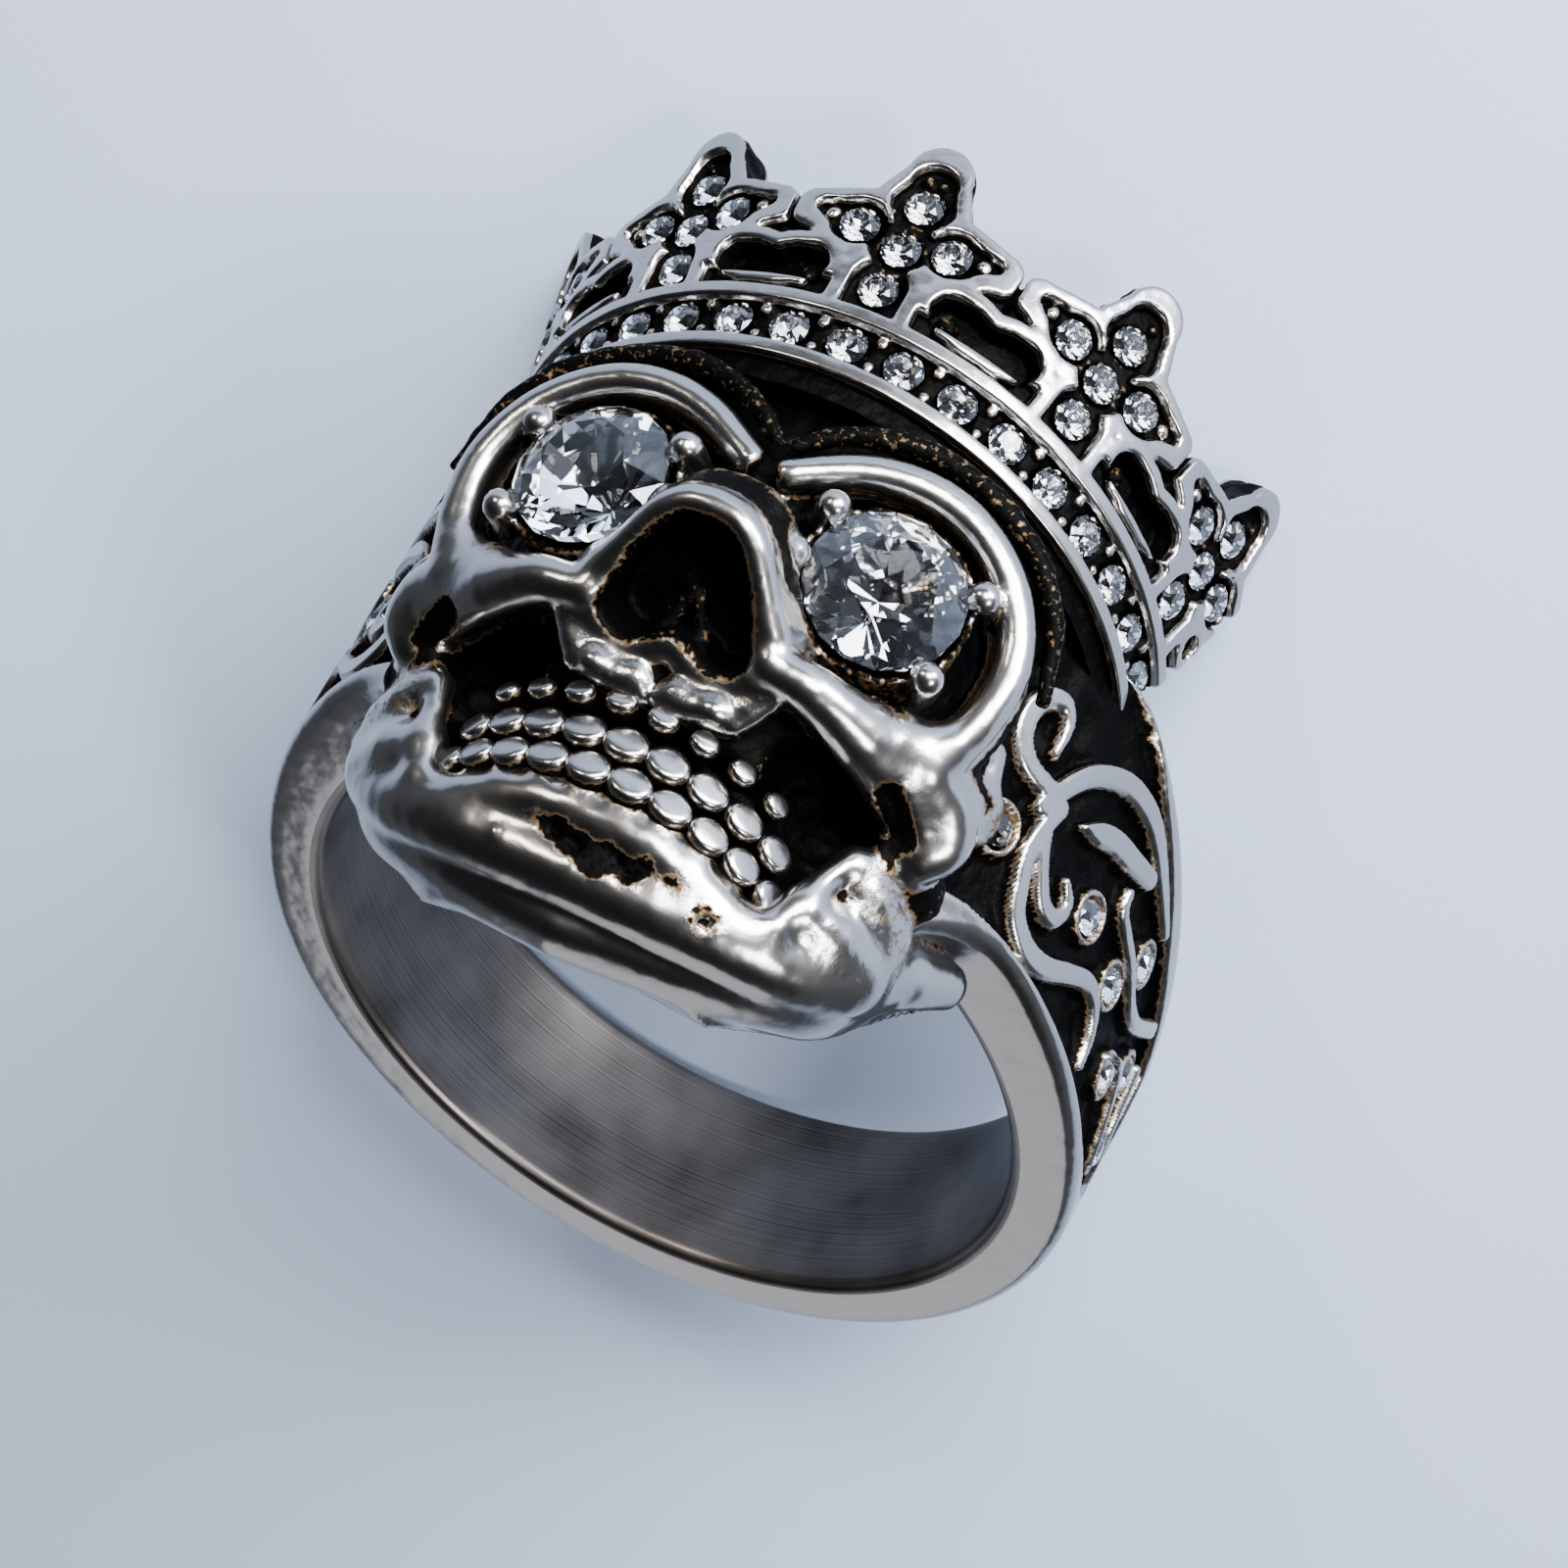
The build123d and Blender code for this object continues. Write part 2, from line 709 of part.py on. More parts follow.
stone_sets = [
    ("eye_stone_left", eye_places[:1], eye_stone_diameter, eye_facets),
    ("eye_stone_right", eye_places[1:], eye_stone_diameter, eye_facets),
    ("shoulder_stones_left", left_places, stone_diameter, stone_facets),
    ("shoulder_stones_right", shoulder_places, stone_diameter, stone_facets),
]
for i, place in enumerate(row_places, start=1):
    stone_sets.append((f"crown_stone_{i:02d}", [place], stone_diameter, stone_facets))
for i, places in enumerate(spike_places, start=1):
    stone_sets.append((f"spike_stones_{i}", places, stone_diameter, stone_facets))
for label, places, diameter, facets in stone_sets:
    with BuildPart() as stones:
        for place in places:
            brilliant(place, diameter, facets)
    lay_and_write(stones, label)

print(f"tilt {tilt:.2f}, laid at {laid.position}")
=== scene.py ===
# %% [markdown]
# # A crowned skull ring
# This lesson dresses the construction model of a finger ring. The real ring is one casting of stainless
# steel: a skull under a crown, with scrolled shoulders and a plain band. It was polished, blackened in
# its recesses, and set with foil-backed glass stones. The construction model gives every size and place,
# and here the metal gets its cast forms, the stones their facets, and both their finish.

# %% Load the construction model
import json
import math

import bpy
import numpy as np
from mathutils import Matrix, Vector


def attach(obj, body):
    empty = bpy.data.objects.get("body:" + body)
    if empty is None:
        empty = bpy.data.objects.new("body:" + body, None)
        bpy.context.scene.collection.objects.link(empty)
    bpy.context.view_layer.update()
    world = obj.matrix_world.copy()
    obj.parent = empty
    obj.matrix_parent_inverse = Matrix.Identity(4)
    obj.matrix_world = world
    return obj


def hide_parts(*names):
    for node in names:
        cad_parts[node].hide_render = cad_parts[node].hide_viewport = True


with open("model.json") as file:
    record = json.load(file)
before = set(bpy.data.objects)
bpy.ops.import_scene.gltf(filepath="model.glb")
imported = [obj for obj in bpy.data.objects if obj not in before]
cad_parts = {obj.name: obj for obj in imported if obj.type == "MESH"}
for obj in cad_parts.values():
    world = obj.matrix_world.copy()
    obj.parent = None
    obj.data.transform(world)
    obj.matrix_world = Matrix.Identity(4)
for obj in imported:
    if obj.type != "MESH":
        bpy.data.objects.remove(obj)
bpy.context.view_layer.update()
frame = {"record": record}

# %% [markdown]
# ## Two ways to hold the ring
# The ring lies on the tips of its crown and the rim of its band, but a skull is easier to describe
# standing up. So its forms are worked out in an upright frame in millimetres: z runs along the finger
# towards the crown, -y is the face, x is to the viewer's right, and 0 is on the finger's axis at the
# chin side of the band. The finger hole of the construction model says how to lay it down.

# %% From upright millimetres to the model's own frame
MM = 0.001
HOLE_MIDDLE = 1.625  # mm, middle of the finger hole's wall above the chin side of the band
finger_hole = frame["record"]["mounts"][0]
HOLE_RADIUS = finger_hole["dims"]["r_mm"]
finger_axis = np.array(finger_hole["axis"])
UPRIGHT = np.stack([(-1.0, 0.0, 0.0), np.cross(-finger_axis, (-1.0, 0.0, 0.0)), -finger_axis])
ORIGIN = np.array(finger_hole["pos_m"]) / MM + HOLE_MIDDLE * finger_axis


def lay_down(points):
    """Upright millimetres to the model's metres, lying as it rests."""
    return (np.asarray(points, float) @ UPRIGHT + ORIGIN) * MM


print("upright origin lies at", lay_down([(0, 0, 0)])[0].round(5))

# %% [markdown]
# ## Digital clay
# Cast metal has no edges that a lathe or saw would leave: forms melt into each other. A signed distance
# field says for every point of a block of space how far it is from the metal, negative inside. Two
# fields join with a smooth minimum, which leaves the small fillet of a wax model. That suits this skull
# better than subdivision surfaces, whose control mesh would have to follow every tooth and socket.

# %% Joining and carving distance fields
def blend(a, b, reach):
    """Union of two fields with a fillet of about `reach` mm."""
    h = np.maximum(reach - np.abs(a - b), 0.0) / reach
    return np.minimum(a, b) - h * h * reach * 0.25


def carve(a, b, reach):
    """Field a without field b, with a rounded edge."""
    return -blend(-a, b, reach)


def step_up(value, low, high):
    """0 below low, 1 above high, smooth between."""
    t = np.clip((value - low) / (high - low), 0, 1)
    return t * t * (3 - 2 * t)


print("a fillet of 0.2 mm adds", -blend(0.0, 0.0, 0.2), "mm where two faces meet")

# %% Ovals, smooth lines and rods
def oval(at, centre, radii):
    """1 on an ellipsoid, less inside it."""
    return np.sqrt(sum(((a - c) / r) ** 2 for a, c, r in zip(at, centre, radii)))


def curve(points, steps=4):
    """A smooth line through a few points, as a finer list of points."""
    p = np.array(points, float)
    p = np.vstack([2 * p[0] - p[1], p, 2 * p[-1] - p[-2]])
    t = (np.arange(steps) / steps)[:, None]
    out = []
    for a, b, c, d in zip(p, p[1:], p[2:], p[3:]):
        out.append(0.5 * (2 * b + (c - a) * t + (2 * a - 5 * b + 4 * c - d) * t**2))
        out[-1] += 0.5 * (3 * b - 3 * c + d - a) * t**3
    return np.vstack(out + [p[-2:-1]])


def tube_distance(at, line, radii):
    """Distance to a rod along `line`; its radius runs from the first to the last of `radii`."""
    radii = np.interp(np.linspace(0, 1, len(line)), np.linspace(0, 1, len(radii)), radii)
    best = None
    for p, q, r0, r1 in zip(line, line[1:], radii, radii[1:]):
        d = q - p
        away = [a - v for a, v in zip(at, p)]
        t = sum(a * v for a, v in zip(away, d)) / max(float(d @ d), 1e-9)
        t = np.clip(t, 0.0, 1.0)
        far = np.sqrt(sum((a - v * t) ** 2 for a, v in zip(away, d))) - (r0 + (r1 - r0) * t)
        best = far if best is None else np.minimum(best, far)
    return best


print("a curve through 3 points gets", len(curve([(0, 0), (1, 1), (2, 0)])), "points")

# %% A block of clay
class Clay:
    """A block of space on a regular grid: a distance field of the metal, and how black it is."""

    def __init__(self, low, high, step):
        self.step = step
        self.axes = [np.arange(a, b, step).astype(np.float32) for a, b in zip(low, high)]
        self.field = np.full([len(a) for a in self.axes], 9.0, np.float32)
        self.soot = np.ones_like(self.field)

    def near(self, low, high):
        """The part of the block between two corners, and its grid coordinates."""
        cut = [slice(*np.searchsorted(a, (lo, hi))) for a, lo, hi in zip(self.axes, low, high)]
        return tuple(cut), np.ix_(*[a[c] for a, c in zip(self.axes, cut)])

    def shape(self, distance, low, high, reach, way=blend, soot=None):
        """Joins or carves a shape. Carved walls turn black (1) and joined forms bright (0)."""
        cut, at = self.near(low, high)
        far = distance(*at)
        self.field[cut] = way(self.field[cut], far, reach)
        black = soot if soot is not None else float(way is carve)
        touched = step_up(-far, -2.2 * self.step, -0.8 * self.step)
        self.soot[cut] += touched * (black - self.soot[cut])

    def rod(self, points, radii, reach, way=blend, soot=None):
        line = curve(points)
        margin = max(radii) + reach + 3 * self.step
        low, high = line.min(0) - margin, line.max(0) + margin
        self.shape(lambda *at: tube_distance(at, line, radii), low, high, reach, way, soot)

    def lump(self, centre, radii, reach, way=blend, soot=None):
        """An ellipsoid, or a ball where the three radii are the same."""
        c, r = np.array(centre, float), np.array(radii, float) * np.ones(3)
        margin = reach + 3 * self.step
        self.shape(lambda *at: (oval(at, c, r) - 1) * float(r.min()), c - r - margin, c + r + margin,
                   reach, way, soot)


print("a block 1 mm wide at steps of 0.25 mm has", Clay((0, 0, 0), (1, 1, 1), 0.25).field.size, "points")

# %% [markdown]
# ## From field to mesh
# A surface net puts one vertex into every grid cell that the surface crosses, at the mean of its
# crossings, and one quad over every crossed edge. It gives even quads, closed by construction. The
# mesh also keeps how deep each vertex sits in a recess: the share of metal around it, read from a
# blurred copy of the field. That number later says where the blackening stays after polishing.

# %% A surface net
def eight_corners(volume, base, share):
    """Values of a grid between the eight corners of each point's cell."""
    total = np.zeros(len(base), np.float32)
    for corner in np.ndindex(2, 2, 2):
        weight = np.prod(np.where(corner, share, 1 - share), axis=1)
        total += weight * volume[tuple(((base + corner) % volume.shape).T)]
    return total


def read(volume, points):
    """Values of a grid at points given in cells."""
    base = np.clip(np.floor(points).astype(int), 0, np.array(volume.shape) - 2)
    return eight_corners(volume, base, points - base)


def surface_net(field):
    """Vertices, in cells, and quads of the zero surface of a field."""
    inside = field < 0
    shape = np.array(field.shape)
    count = np.zeros(shape - 1, np.int8)
    for i, j, k in np.ndindex(2, 2, 2):
        count += inside[i : shape[0] - 1 + i, j : shape[1] - 1 + j, k : shape[2] - 1 + k]
    cells = np.argwhere((count > 0) & (count < 8))
    corners = np.array(list(np.ndindex(2, 2, 2)))
    values = np.stack([field[tuple((cells + c).T)] for c in corners], axis=1)
    total = np.zeros((len(cells), 3))
    crossings = np.zeros(len(cells))
    for a in range(8):
        for b in range(a + 1, 8):
            if np.abs(corners[a] - corners[b]).sum() == 1:
                va, vb = values[:, a], values[:, b]
                crossed = (va < 0) != (vb < 0)
                t = np.where(crossed, va / np.where(crossed, va - vb, 1), 0)
                total += np.where(crossed, 1, 0)[:, None] * corners[a]
                total += t[:, None] * (corners[b] - corners[a])
                crossings += crossed
    vertices = cells + total / crossings[:, None]
    number = np.full(shape - 1, -1, np.int32)
    number[tuple(cells.T)] = np.arange(len(cells))
    quads = []
    for a, b, c in ((0, 1, 2), (1, 2, 0), (2, 0, 1)):
        first = np.moveaxis(inside, (a, b, c), (0, 1, 2))
        grid = np.moveaxis(number, (a, b, c), (0, 1, 2))
        crossed = first[:-1, 1:-1, 1:-1] != first[1:, 1:-1, 1:-1]
        i, j, k = np.nonzero(crossed)
        ring = [grid[i, j + dj, k + dk] for dj, dk in ((0, 0), (1, 0), (1, 1), (0, 1))]
        quad = np.stack(ring, axis=1)
        leaving = first[:-1, 1:-1, 1:-1][i, j, k]
        quads.append(np.where(leaving[:, None], quad, quad[:, ::-1]))
    return vertices, np.vstack(quads)


ball = np.sqrt(sum(np.mgrid[-4:5, -4:5, -4:5] ** 2)) - 3
print("a ball of 3 cells radius takes", len(surface_net(ball)[1]), "quads")

# %% Evening the net out, and reading how deep it lies
def relax(vertices, quads, field, rounds):
    """Evens the mesh out and pulls it back onto the surface."""
    edges = np.vstack([quads[:, (0, 1)], quads[:, (1, 2)], quads[:, (2, 3)], quads[:, (3, 0)]])
    ends, others = edges[:, 0], edges[:, 1]
    degree = np.bincount(ends, minlength=len(vertices))
    for _ in range(rounds):
        mean = [np.bincount(ends, vertices[others, axis], len(vertices)) for axis in range(3)]
        vertices = vertices * 0.5 + 0.5 * np.stack(mean, axis=1) / degree[:, None]
        slope = []
        for axis in range(3):
            shift = 0.5 * np.eye(3)[axis]
            slope.append(read(field, vertices + shift) - read(field, vertices - shift))
        slope = np.stack(slope, axis=1)
        steep = np.maximum((slope**2).sum(1), 0.05 * float(np.median((slope**2).sum(1))))
        move = -read(field, vertices)[:, None] * slope / steep[:, None]
        vertices = vertices + np.clip(move, -0.5, 0.5)
    return vertices


def blur(volume, cells):
    """Mean over a box of 2 * cells + 1 along each axis, done twice for a rounder kernel."""
    for _ in range(2):
        for axis in range(3):
            pad = [(0, 0)] * 3
            pad[axis] = (cells + 1, cells)
            total = np.cumsum(np.pad(volume, pad, mode="edge"), axis=axis, dtype=np.float32)
            high = np.take(total, range(2 * cells + 1, total.shape[axis]), axis=axis)
            low = np.take(total, range(0, total.shape[axis] - 2 * cells - 1), axis=axis)
            volume = (high - low) / (2 * cells + 1)
    return volume


def skin(field, low, step, rounds=2, reaches=(0.22, 0.6)):
    """Mesh of a field: points, quads and how enclosed each point is, near and farther off."""
    vertices, quads = surface_net(field)
    vertices = relax(vertices, quads, field, rounds)
    metal = np.clip(0.5 - field / step, 0.0, 1.0).astype(np.float32)
    depth = [read(blur(metal, max(1, round(reach / step))), vertices) for reach in reaches]
    return vertices * step + low, quads, depth


print("meshing tools ready")

# %% [markdown]
# ## Random lumps
# Cast recesses are never smooth. Small random lumps come from values on a coarse lattice, read with
# smooth steps between them. The seed is fixed, so every run gives the same ring.

# %% Seeded value noise on points
def lumps(points, size, seed):
    """Smooth random values from -1 to 1, with bumps about `size` mm across."""
    lattice = np.random.default_rng(seed).uniform(-1, 1, (32, 32, 32)).astype(np.float32)
    scaled = np.asarray(points) / size
    base = np.floor(scaled).astype(int)
    frac = scaled - base
    return eight_corners(lattice, base, frac * frac * (3 - 2 * frac))


def normals_of(points, quads):
    """Outward direction at each point of a quad mesh."""
    a, b, c, d = (points[quads[:, i]] for i in range(4))
    face = np.cross(c - a, d - b)
    total = np.zeros_like(points)
    for corner in range(4):
        for axis in range(3):
            total[:, axis] += np.bincount(quads[:, corner], face[:, axis], len(points))
    return total / np.maximum(np.linalg.norm(total, axis=1), 1e-12)[:, None]


print("noise at three points", lumps(np.eye(3), 0.3, 1).round(2))

# %% [markdown]
# ## The skull's own frame of reference
# The eyes are not level with the face: each socket looks a little outwards and down. The brows and
# sockets are easiest to place round the eye stone itself, by direction, distance and height.

# %% Eye frame and head sections
EYE = np.array([3.69, -16.70, 2.51])
EYE_TURN, EYE_DROOP = math.radians(15.5), math.radians(15.0)
EYE_ACROSS = np.array([math.cos(EYE_TURN), math.sin(EYE_TURN), 0.0])
EYE_OUT = np.array([
    math.sin(EYE_TURN) * math.cos(EYE_DROOP),
    -math.cos(EYE_TURN) * math.cos(EYE_DROOP),
    -math.sin(EYE_DROOP),
])
EYE_UP = np.cross(EYE_OUT, EYE_ACROSS)
EYE_STONE = 3.84


def by_eye(degrees, distance, height):
    """Point round the right eye stone: 0 degrees is outwards, 90 up."""
    turn = math.radians(degrees)
    return (EYE + EYE_ACROSS * distance * math.cos(turn) + EYE_UP * distance * math.sin(turn)
            + EYE_OUT * height)


HEAD_CENTRE = -6.0
# level, half width and depth of the head without its features, mm
HEAD_LEVELS = np.array([-6.6, -5.6, -4.2, -2.0, 0.0, 2.9, 6.0, 8.0, 9.6])
HEAD_WIDTHS = np.array([2.6, 4.4, 5.8, 7.0, 7.9, 8.7, 8.7, 8.3, 6.5])
HEAD_DEPTHS = np.array([5.2, 6.3, 7.3, 8.4, 9.9, 10.4, 10.9, 11.0, 9.0])


def head_distance(x, y, z):
    wide = np.interp(z.ravel(), HEAD_LEVELS, HEAD_WIDTHS).reshape(z.shape)
    deep = np.interp(z.ravel(), HEAD_LEVELS, HEAD_DEPTHS).reshape(z.shape)
    out = np.sqrt(x**2 + (y - HEAD_CENTRE) ** 2) + 1e-6
    share = np.sqrt((x / wide) ** 2 + ((y - HEAD_CENTRE) / deep) ** 2) + 1e-6
    round_head = out * (1 - 1 / share)
    return np.maximum(np.maximum(round_head, z - 9.5), -5.5 - z)


print("eye looks", EYE_OUT.round(3))

# %% [markdown]
# ## The skull
# Only the right half is modelled: the face is symmetric, as its wax master was. Big forms come first,
# then what is carved from them, then the small raised forms, in the order a carver would work. What is
# carved is also marked black, since no polishing wheel reaches it.

# %% Big forms of the skull
SKULL_STEP = 0.127
WHOLE_BLOCK = ((-1.0, -20.5, -8.0), (11.0, -4.0, 11.0))
skull = Clay((-2 * SKULL_STEP, -19.9, -7.2), (10.0, -5.2, 10.0), SKULL_STEP)
skull.shape(head_distance, *WHOLE_BLOCK, 0.3, soot=1)
skull.lump((0, -11.6, -1.6), (3.7, 3.15, 1.6), 0.6, soot=1)  # upper jaw
BROW = [by_eye(*place) for place in (
    (156, 3.6, -0.5), (130, 3.1, -0.3), (105, 2.9, -0.15), (80, 2.85, -0.1), (55, 2.9, -0.15),
    (30, 3.1, -0.3), (5, 3.35, -0.5), (-20, 3.55, -0.7), (-42, 3.9, -1.0))]
BIG_RODS = {
    # line, radii along it, fillet
    "bridge of the nose": (
        [(0, -15.2, 1.6), (0, -16.2, 3.2), (0, -16.4, 4.6), (0, -16.2, 6.0)], (1.0, 0.85, 0.7, 0.7), 0.6),
    "cheekbone": (
        [(2.4, -15.6, 0.2), (4.4, -15.0, 0.15), (6.0, -13.6, 0.5), (6.9, -12.5, 1.0)],
        (0.8, 0.85, 0.9, 0.9), 0.5),
    "root of the brow": ([p - 0.75 * EYE_OUT for p in BROW], (0.5, 0.6, 0.7), 0.3),
    "jaw joint": ([(5.8, -12.3, -1.0), (6.5, -11.3, -0.8)], (0.75, 0.8), 0.3),
}
for line, radii, fillet in BIG_RODS.values():
    skull.rod(line, radii, fillet, soot=1)
JAW = [(0, -12.45, -4.9), (2.6, -12.2, -4.75), (4.6, -11.45, -4.3), (5.9, -10.5, -3.5), (6.5, -9.9, -2.6)]
skull.rod(JAW, (0.88, 0.88, 0.86, 0.75, 0.6), 0.3)
print("skull block", skull.field.shape, "rods", list(BIG_RODS))

# %% Eye sockets and cheek hollows
def coordinates(at, origin, ways):
    """Where points lie, measured from an origin along three directions."""
    away = [a - o for a, o in zip(at, origin)]
    return [sum(a * v for a, v in zip(away, way)) for way in ways]


def round_eye(radius, floor, top=99.0, flare=0.0):
    """Field of a round form on the axis of the eye stone, from a floor to a top."""
    def distance(*at):
        a, b, h = coordinates(at, EYE, (EYE_ACROSS, EYE_UP, EYE_OUT))
        wall = np.sqrt(a**2 + b**2) - (radius + flare * h)
        return np.maximum(wall, np.maximum(h - top, floor - h))

    return distance


# the socket is a round bowl with a flat floor behind the eye stone
skull.shape(round_eye(2.6, -0.8, flare=0.12), EYE - 3.6, EYE + 3.6, 0.2, carve)
CHEEK_HOLLOWS = [  # centre, half sizes
    ((4.15, -13.9, -1.3), (1.35, 2.1, 1.15)),
    ((5.0, -13.1, -1.9), (0.85, 1.6, 1.0)),
    ((4.5, -13.3, -1.1), (1.1, 1.8, 1.0)),
]
for centre, radii in CHEEK_HOLLOWS:
    skull.lump(centre, radii, 0.2, carve)
print("metal share of the block", round(float((skull.field < 0).mean()), 3))

# %% Mouth, and groove under the crown
ARCH_CENTRE = -9.1  # y of the middle of the horseshoe that the teeth stand on
MOUTH_WIDE, MOUTH_DEEP = 4.95, 4.9
MOUTH_LEVEL, MOUTH_HALF_HEIGHT = -2.75, 1.05
CROWN_AXIS = 9.2  # how far the crown's axis lies in front of the finger's
GROOVE_RADIUS, GROOVE_LEVEL, GROOVE_SIZE = 8.9, 6.65, 0.85


def mouth_distance(x, y, z):
    """The gap between the jaws, in front of the gums' back wall."""
    arch = np.sqrt((x / MOUTH_WIDE) ** 2 + ((y - ARCH_CENTRE) / MOUTH_DEEP) ** 2) - 1
    tall = np.abs(z - MOUTH_LEVEL) - MOUTH_HALF_HEIGHT
    return np.maximum(np.maximum(-arch * 4.5, tall), x - MOUTH_WIDE)


def under_crown(x, y, z):
    """The dark groove between forehead and crown, round the crown's own axis."""
    out = np.sqrt(x**2 + (y + CROWN_AXIS) ** 2)
    return np.sqrt((out - GROOVE_RADIUS) ** 2 + ((z - GROOVE_LEVEL) * 0.7) ** 2) - GROOVE_SIZE


skull.shape(mouth_distance, (-1, -19, -5), (5.6, -10.5, -1.2), 0.2, carve)
skull.shape(under_crown, (-1, -19.5, 4.6), (10, -9.0, 8.6), 0.2, carve)
print("metal share of the block", round(float((skull.field < 0).mean()), 3))

# %% [markdown]
# ## Brows, cheekbones and nose
# The polished ridges catch the light, so they stand clear of their hollows: a rounded brow round each
# eye that runs out into the hooked cheekbone, and a smooth rim round the nose. Rods along smooth lines
# make them, as a carver lays on strings of wax. The nose opening is a rounded heart with its point up,
# cut square to a plane that leans back under the forehead.

# %% Brows and cheekbones
skull.rod(BROW, (0.38, 0.44, 0.46, 0.46, 0.46, 0.48, 0.54), 0.1)
BROW_HOOK = [BROW[-1], (6.75, -13.3, 0.15), (6.95, -12.75, -0.35), (6.6, -12.5, -0.85)]
skull.rod(BROW_HOOK, (0.55, 0.66, 0.6, 0.5), 0.25)
UNDER_EYE = [by_eye(-80, 3.1, -0.85), by_eye(-55, 3.25, -0.85), by_eye(-35, 3.6, -0.95)]
skull.rod(UNDER_EYE, (0.4, 0.55, 0.6), 0.3)
TEMPLE = [(6.9, -13.3, 2.2), (7.1, -12.7, 1.0), (6.95, -12.6, -0.1)]
skull.rod(TEMPLE, (0.4, 0.45, 0.45), 0.3)
CHEEK = [(2.3, -16.35, -0.5), (3.4, -16.0, -0.42), (4.6, -15.0, -0.3), (5.5, -13.9, -0.25),
         (6.2, -13.1, -0.4), (6.5, -12.6, -0.8)]
skull.rod(CHEEK, (0.42, 0.6, 0.76, 0.72, 0.6, 0.48), 0.25)
CHEEK_TOP = [(5.2, -14.75, 0.1), (5.85, -14.0, 0.1), (6.5, -13.15, 0.0), (6.65, -12.7, -0.5)]
skull.rod(CHEEK_TOP, (0.55, 0.72, 0.72, 0.58), 0.35)
CHEEK_NICK = [(5.6, -14.3, -0.85), (5.85, -13.75, -1.05), (6.15, -13.3, -1.2)]
skull.rod(CHEEK_NICK, (0.2, 0.3, 0.22), 0.06, carve)
print("cheekbone from", CHEEK[0], "to", CHEEK[-1])

# %% Side of the jaw, temple rope and forehead crack
JAW_SIDE = [(5.5, -12.45, -1.75), (5.85, -11.9, -2.0), (6.35, -11.0, -2.1)]
skull.rod(JAW_SIDE, (0.5, 0.7, 0.75), 0.3, soot=0.35)
skull.rod([(4.9, -12.2, -3.3), (5.4, -11.6, -3.2), (6.1, -10.7, -3.0)], (0.65, 0.85, 0.85), 0.5, soot=0.15)
MOUTH_CORNER = [(5.3, -12.75, -1.75), (5.05, -12.75, -2.4), (4.75, -12.6, -3.3), (4.45, -12.45, -4.1)]
skull.rod(MOUTH_CORNER, (0.26, 0.28, 0.3, 0.34), 0.4)
ROPE = [by_eye(*place) for place in (
    (150, 4.3, -0.8), (130, 4.1, -0.45), (105, 3.95, -0.35), (80, 3.85, -0.35), (55, 3.95, -0.45),
    (30, 4.15, -0.7), (5, 4.4, -1.1))]
skull.rod(ROPE, (0.2, 0.28, 0.3, 0.28, 0.2), 0.08, soot=1)
CRACK = [(0, -17.6, 2.6), (0, -17.5, 3.6), (0, -17.3, 4.8), (0, -17.2, 6.8)]
skull.rod(CRACK, (0.2, 0.3, 0.3, 0.3), 0.08, carve)
print("rope above the brow, points", len(ROPE))

# %% The nose's outline
NOSE = np.array([0.0, -17.5, -0.05])
NOSE_LEAN = math.radians(60)
NOSE_OUT = np.array([0.0, -math.cos(NOSE_LEAN), -math.sin(NOSE_LEAN)])
NOSE_UP = np.array([0.0, -math.sin(NOSE_LEAN), math.cos(NOSE_LEAN)])
NOSE_EDGE = [(0.0, 1.38), (0.5, 1.3), (0.92, 0.95), (1.28, 0.35), (1.56, -0.35), (1.75, -1.0), (1.72, -1.45),
             (1.42, -1.72), (0.95, -1.76), (0.45, -1.5), (0.0, -1.3)]


def outline_distance(a, b, edge):
    """Distance from a closed outline in a plane, negative inside."""
    near, inside = None, np.zeros(np.broadcast(a, b).shape, bool)
    for (ax, ay), (bx, by) in zip(edge, np.roll(edge, -1, axis=0)):
        dx, dy = bx - ax, by - ay
        t = np.clip(((a - ax) * dx + (b - ay) * dy) / (dx * dx + dy * dy + 1e-12), 0, 1)
        far = (a - ax - t * dx) ** 2 + (b - ay - t * dy) ** 2
        near = far if near is None else np.minimum(near, far)
        if ay != by:
            inside ^= ((ay > b) != (by > b)) & (a < (b - ay) * dx / dy + ax)
    return np.where(inside, -1, 1) * np.sqrt(near)


half = curve(NOSE_EDGE, 3)
nose_outline = np.vstack([half, (half * (-1, 1))[::-1][1:-1]])
print("nose outline, points", len(nose_outline))

# %% Nose rim and opening
RIM_WIDTH, RIM_DEPTH, OPENING_DEPTH = 0.58, 2.2, 1.6
NOSE_WAYS = ((1, 0, 0), NOSE_UP, NOSE_OUT)


def nose_rim(*at):
    """A rim with a rounded top edge and a flank that widens below it."""
    a, b, h = coordinates(at, NOSE, NOSE_WAYS)
    low = step_up(-b, -0.6, 0.8)
    flank = outline_distance(a, b, nose_outline) - RIM_WIDTH - 0.17 * low
    flank = flank + (0.06 + 0.3 * low) * np.minimum(h, 0)
    return np.maximum(-blend(-flank, -h, 0.45), -RIM_DEPTH - h)


def nose_polish(*at):
    """The part of the rim that the polish reached."""
    a, b, h = coordinates(at, NOSE, NOSE_WAYS)
    return np.maximum(nose_rim(*at), -0.55 - 0.75 * step_up(-b, -0.6, 0.4) - h)


def nose_opening(*at):
    a, b, h = coordinates(at, NOSE, NOSE_WAYS)
    return np.maximum(outline_distance(a, b, nose_outline), -OPENING_DEPTH - h)


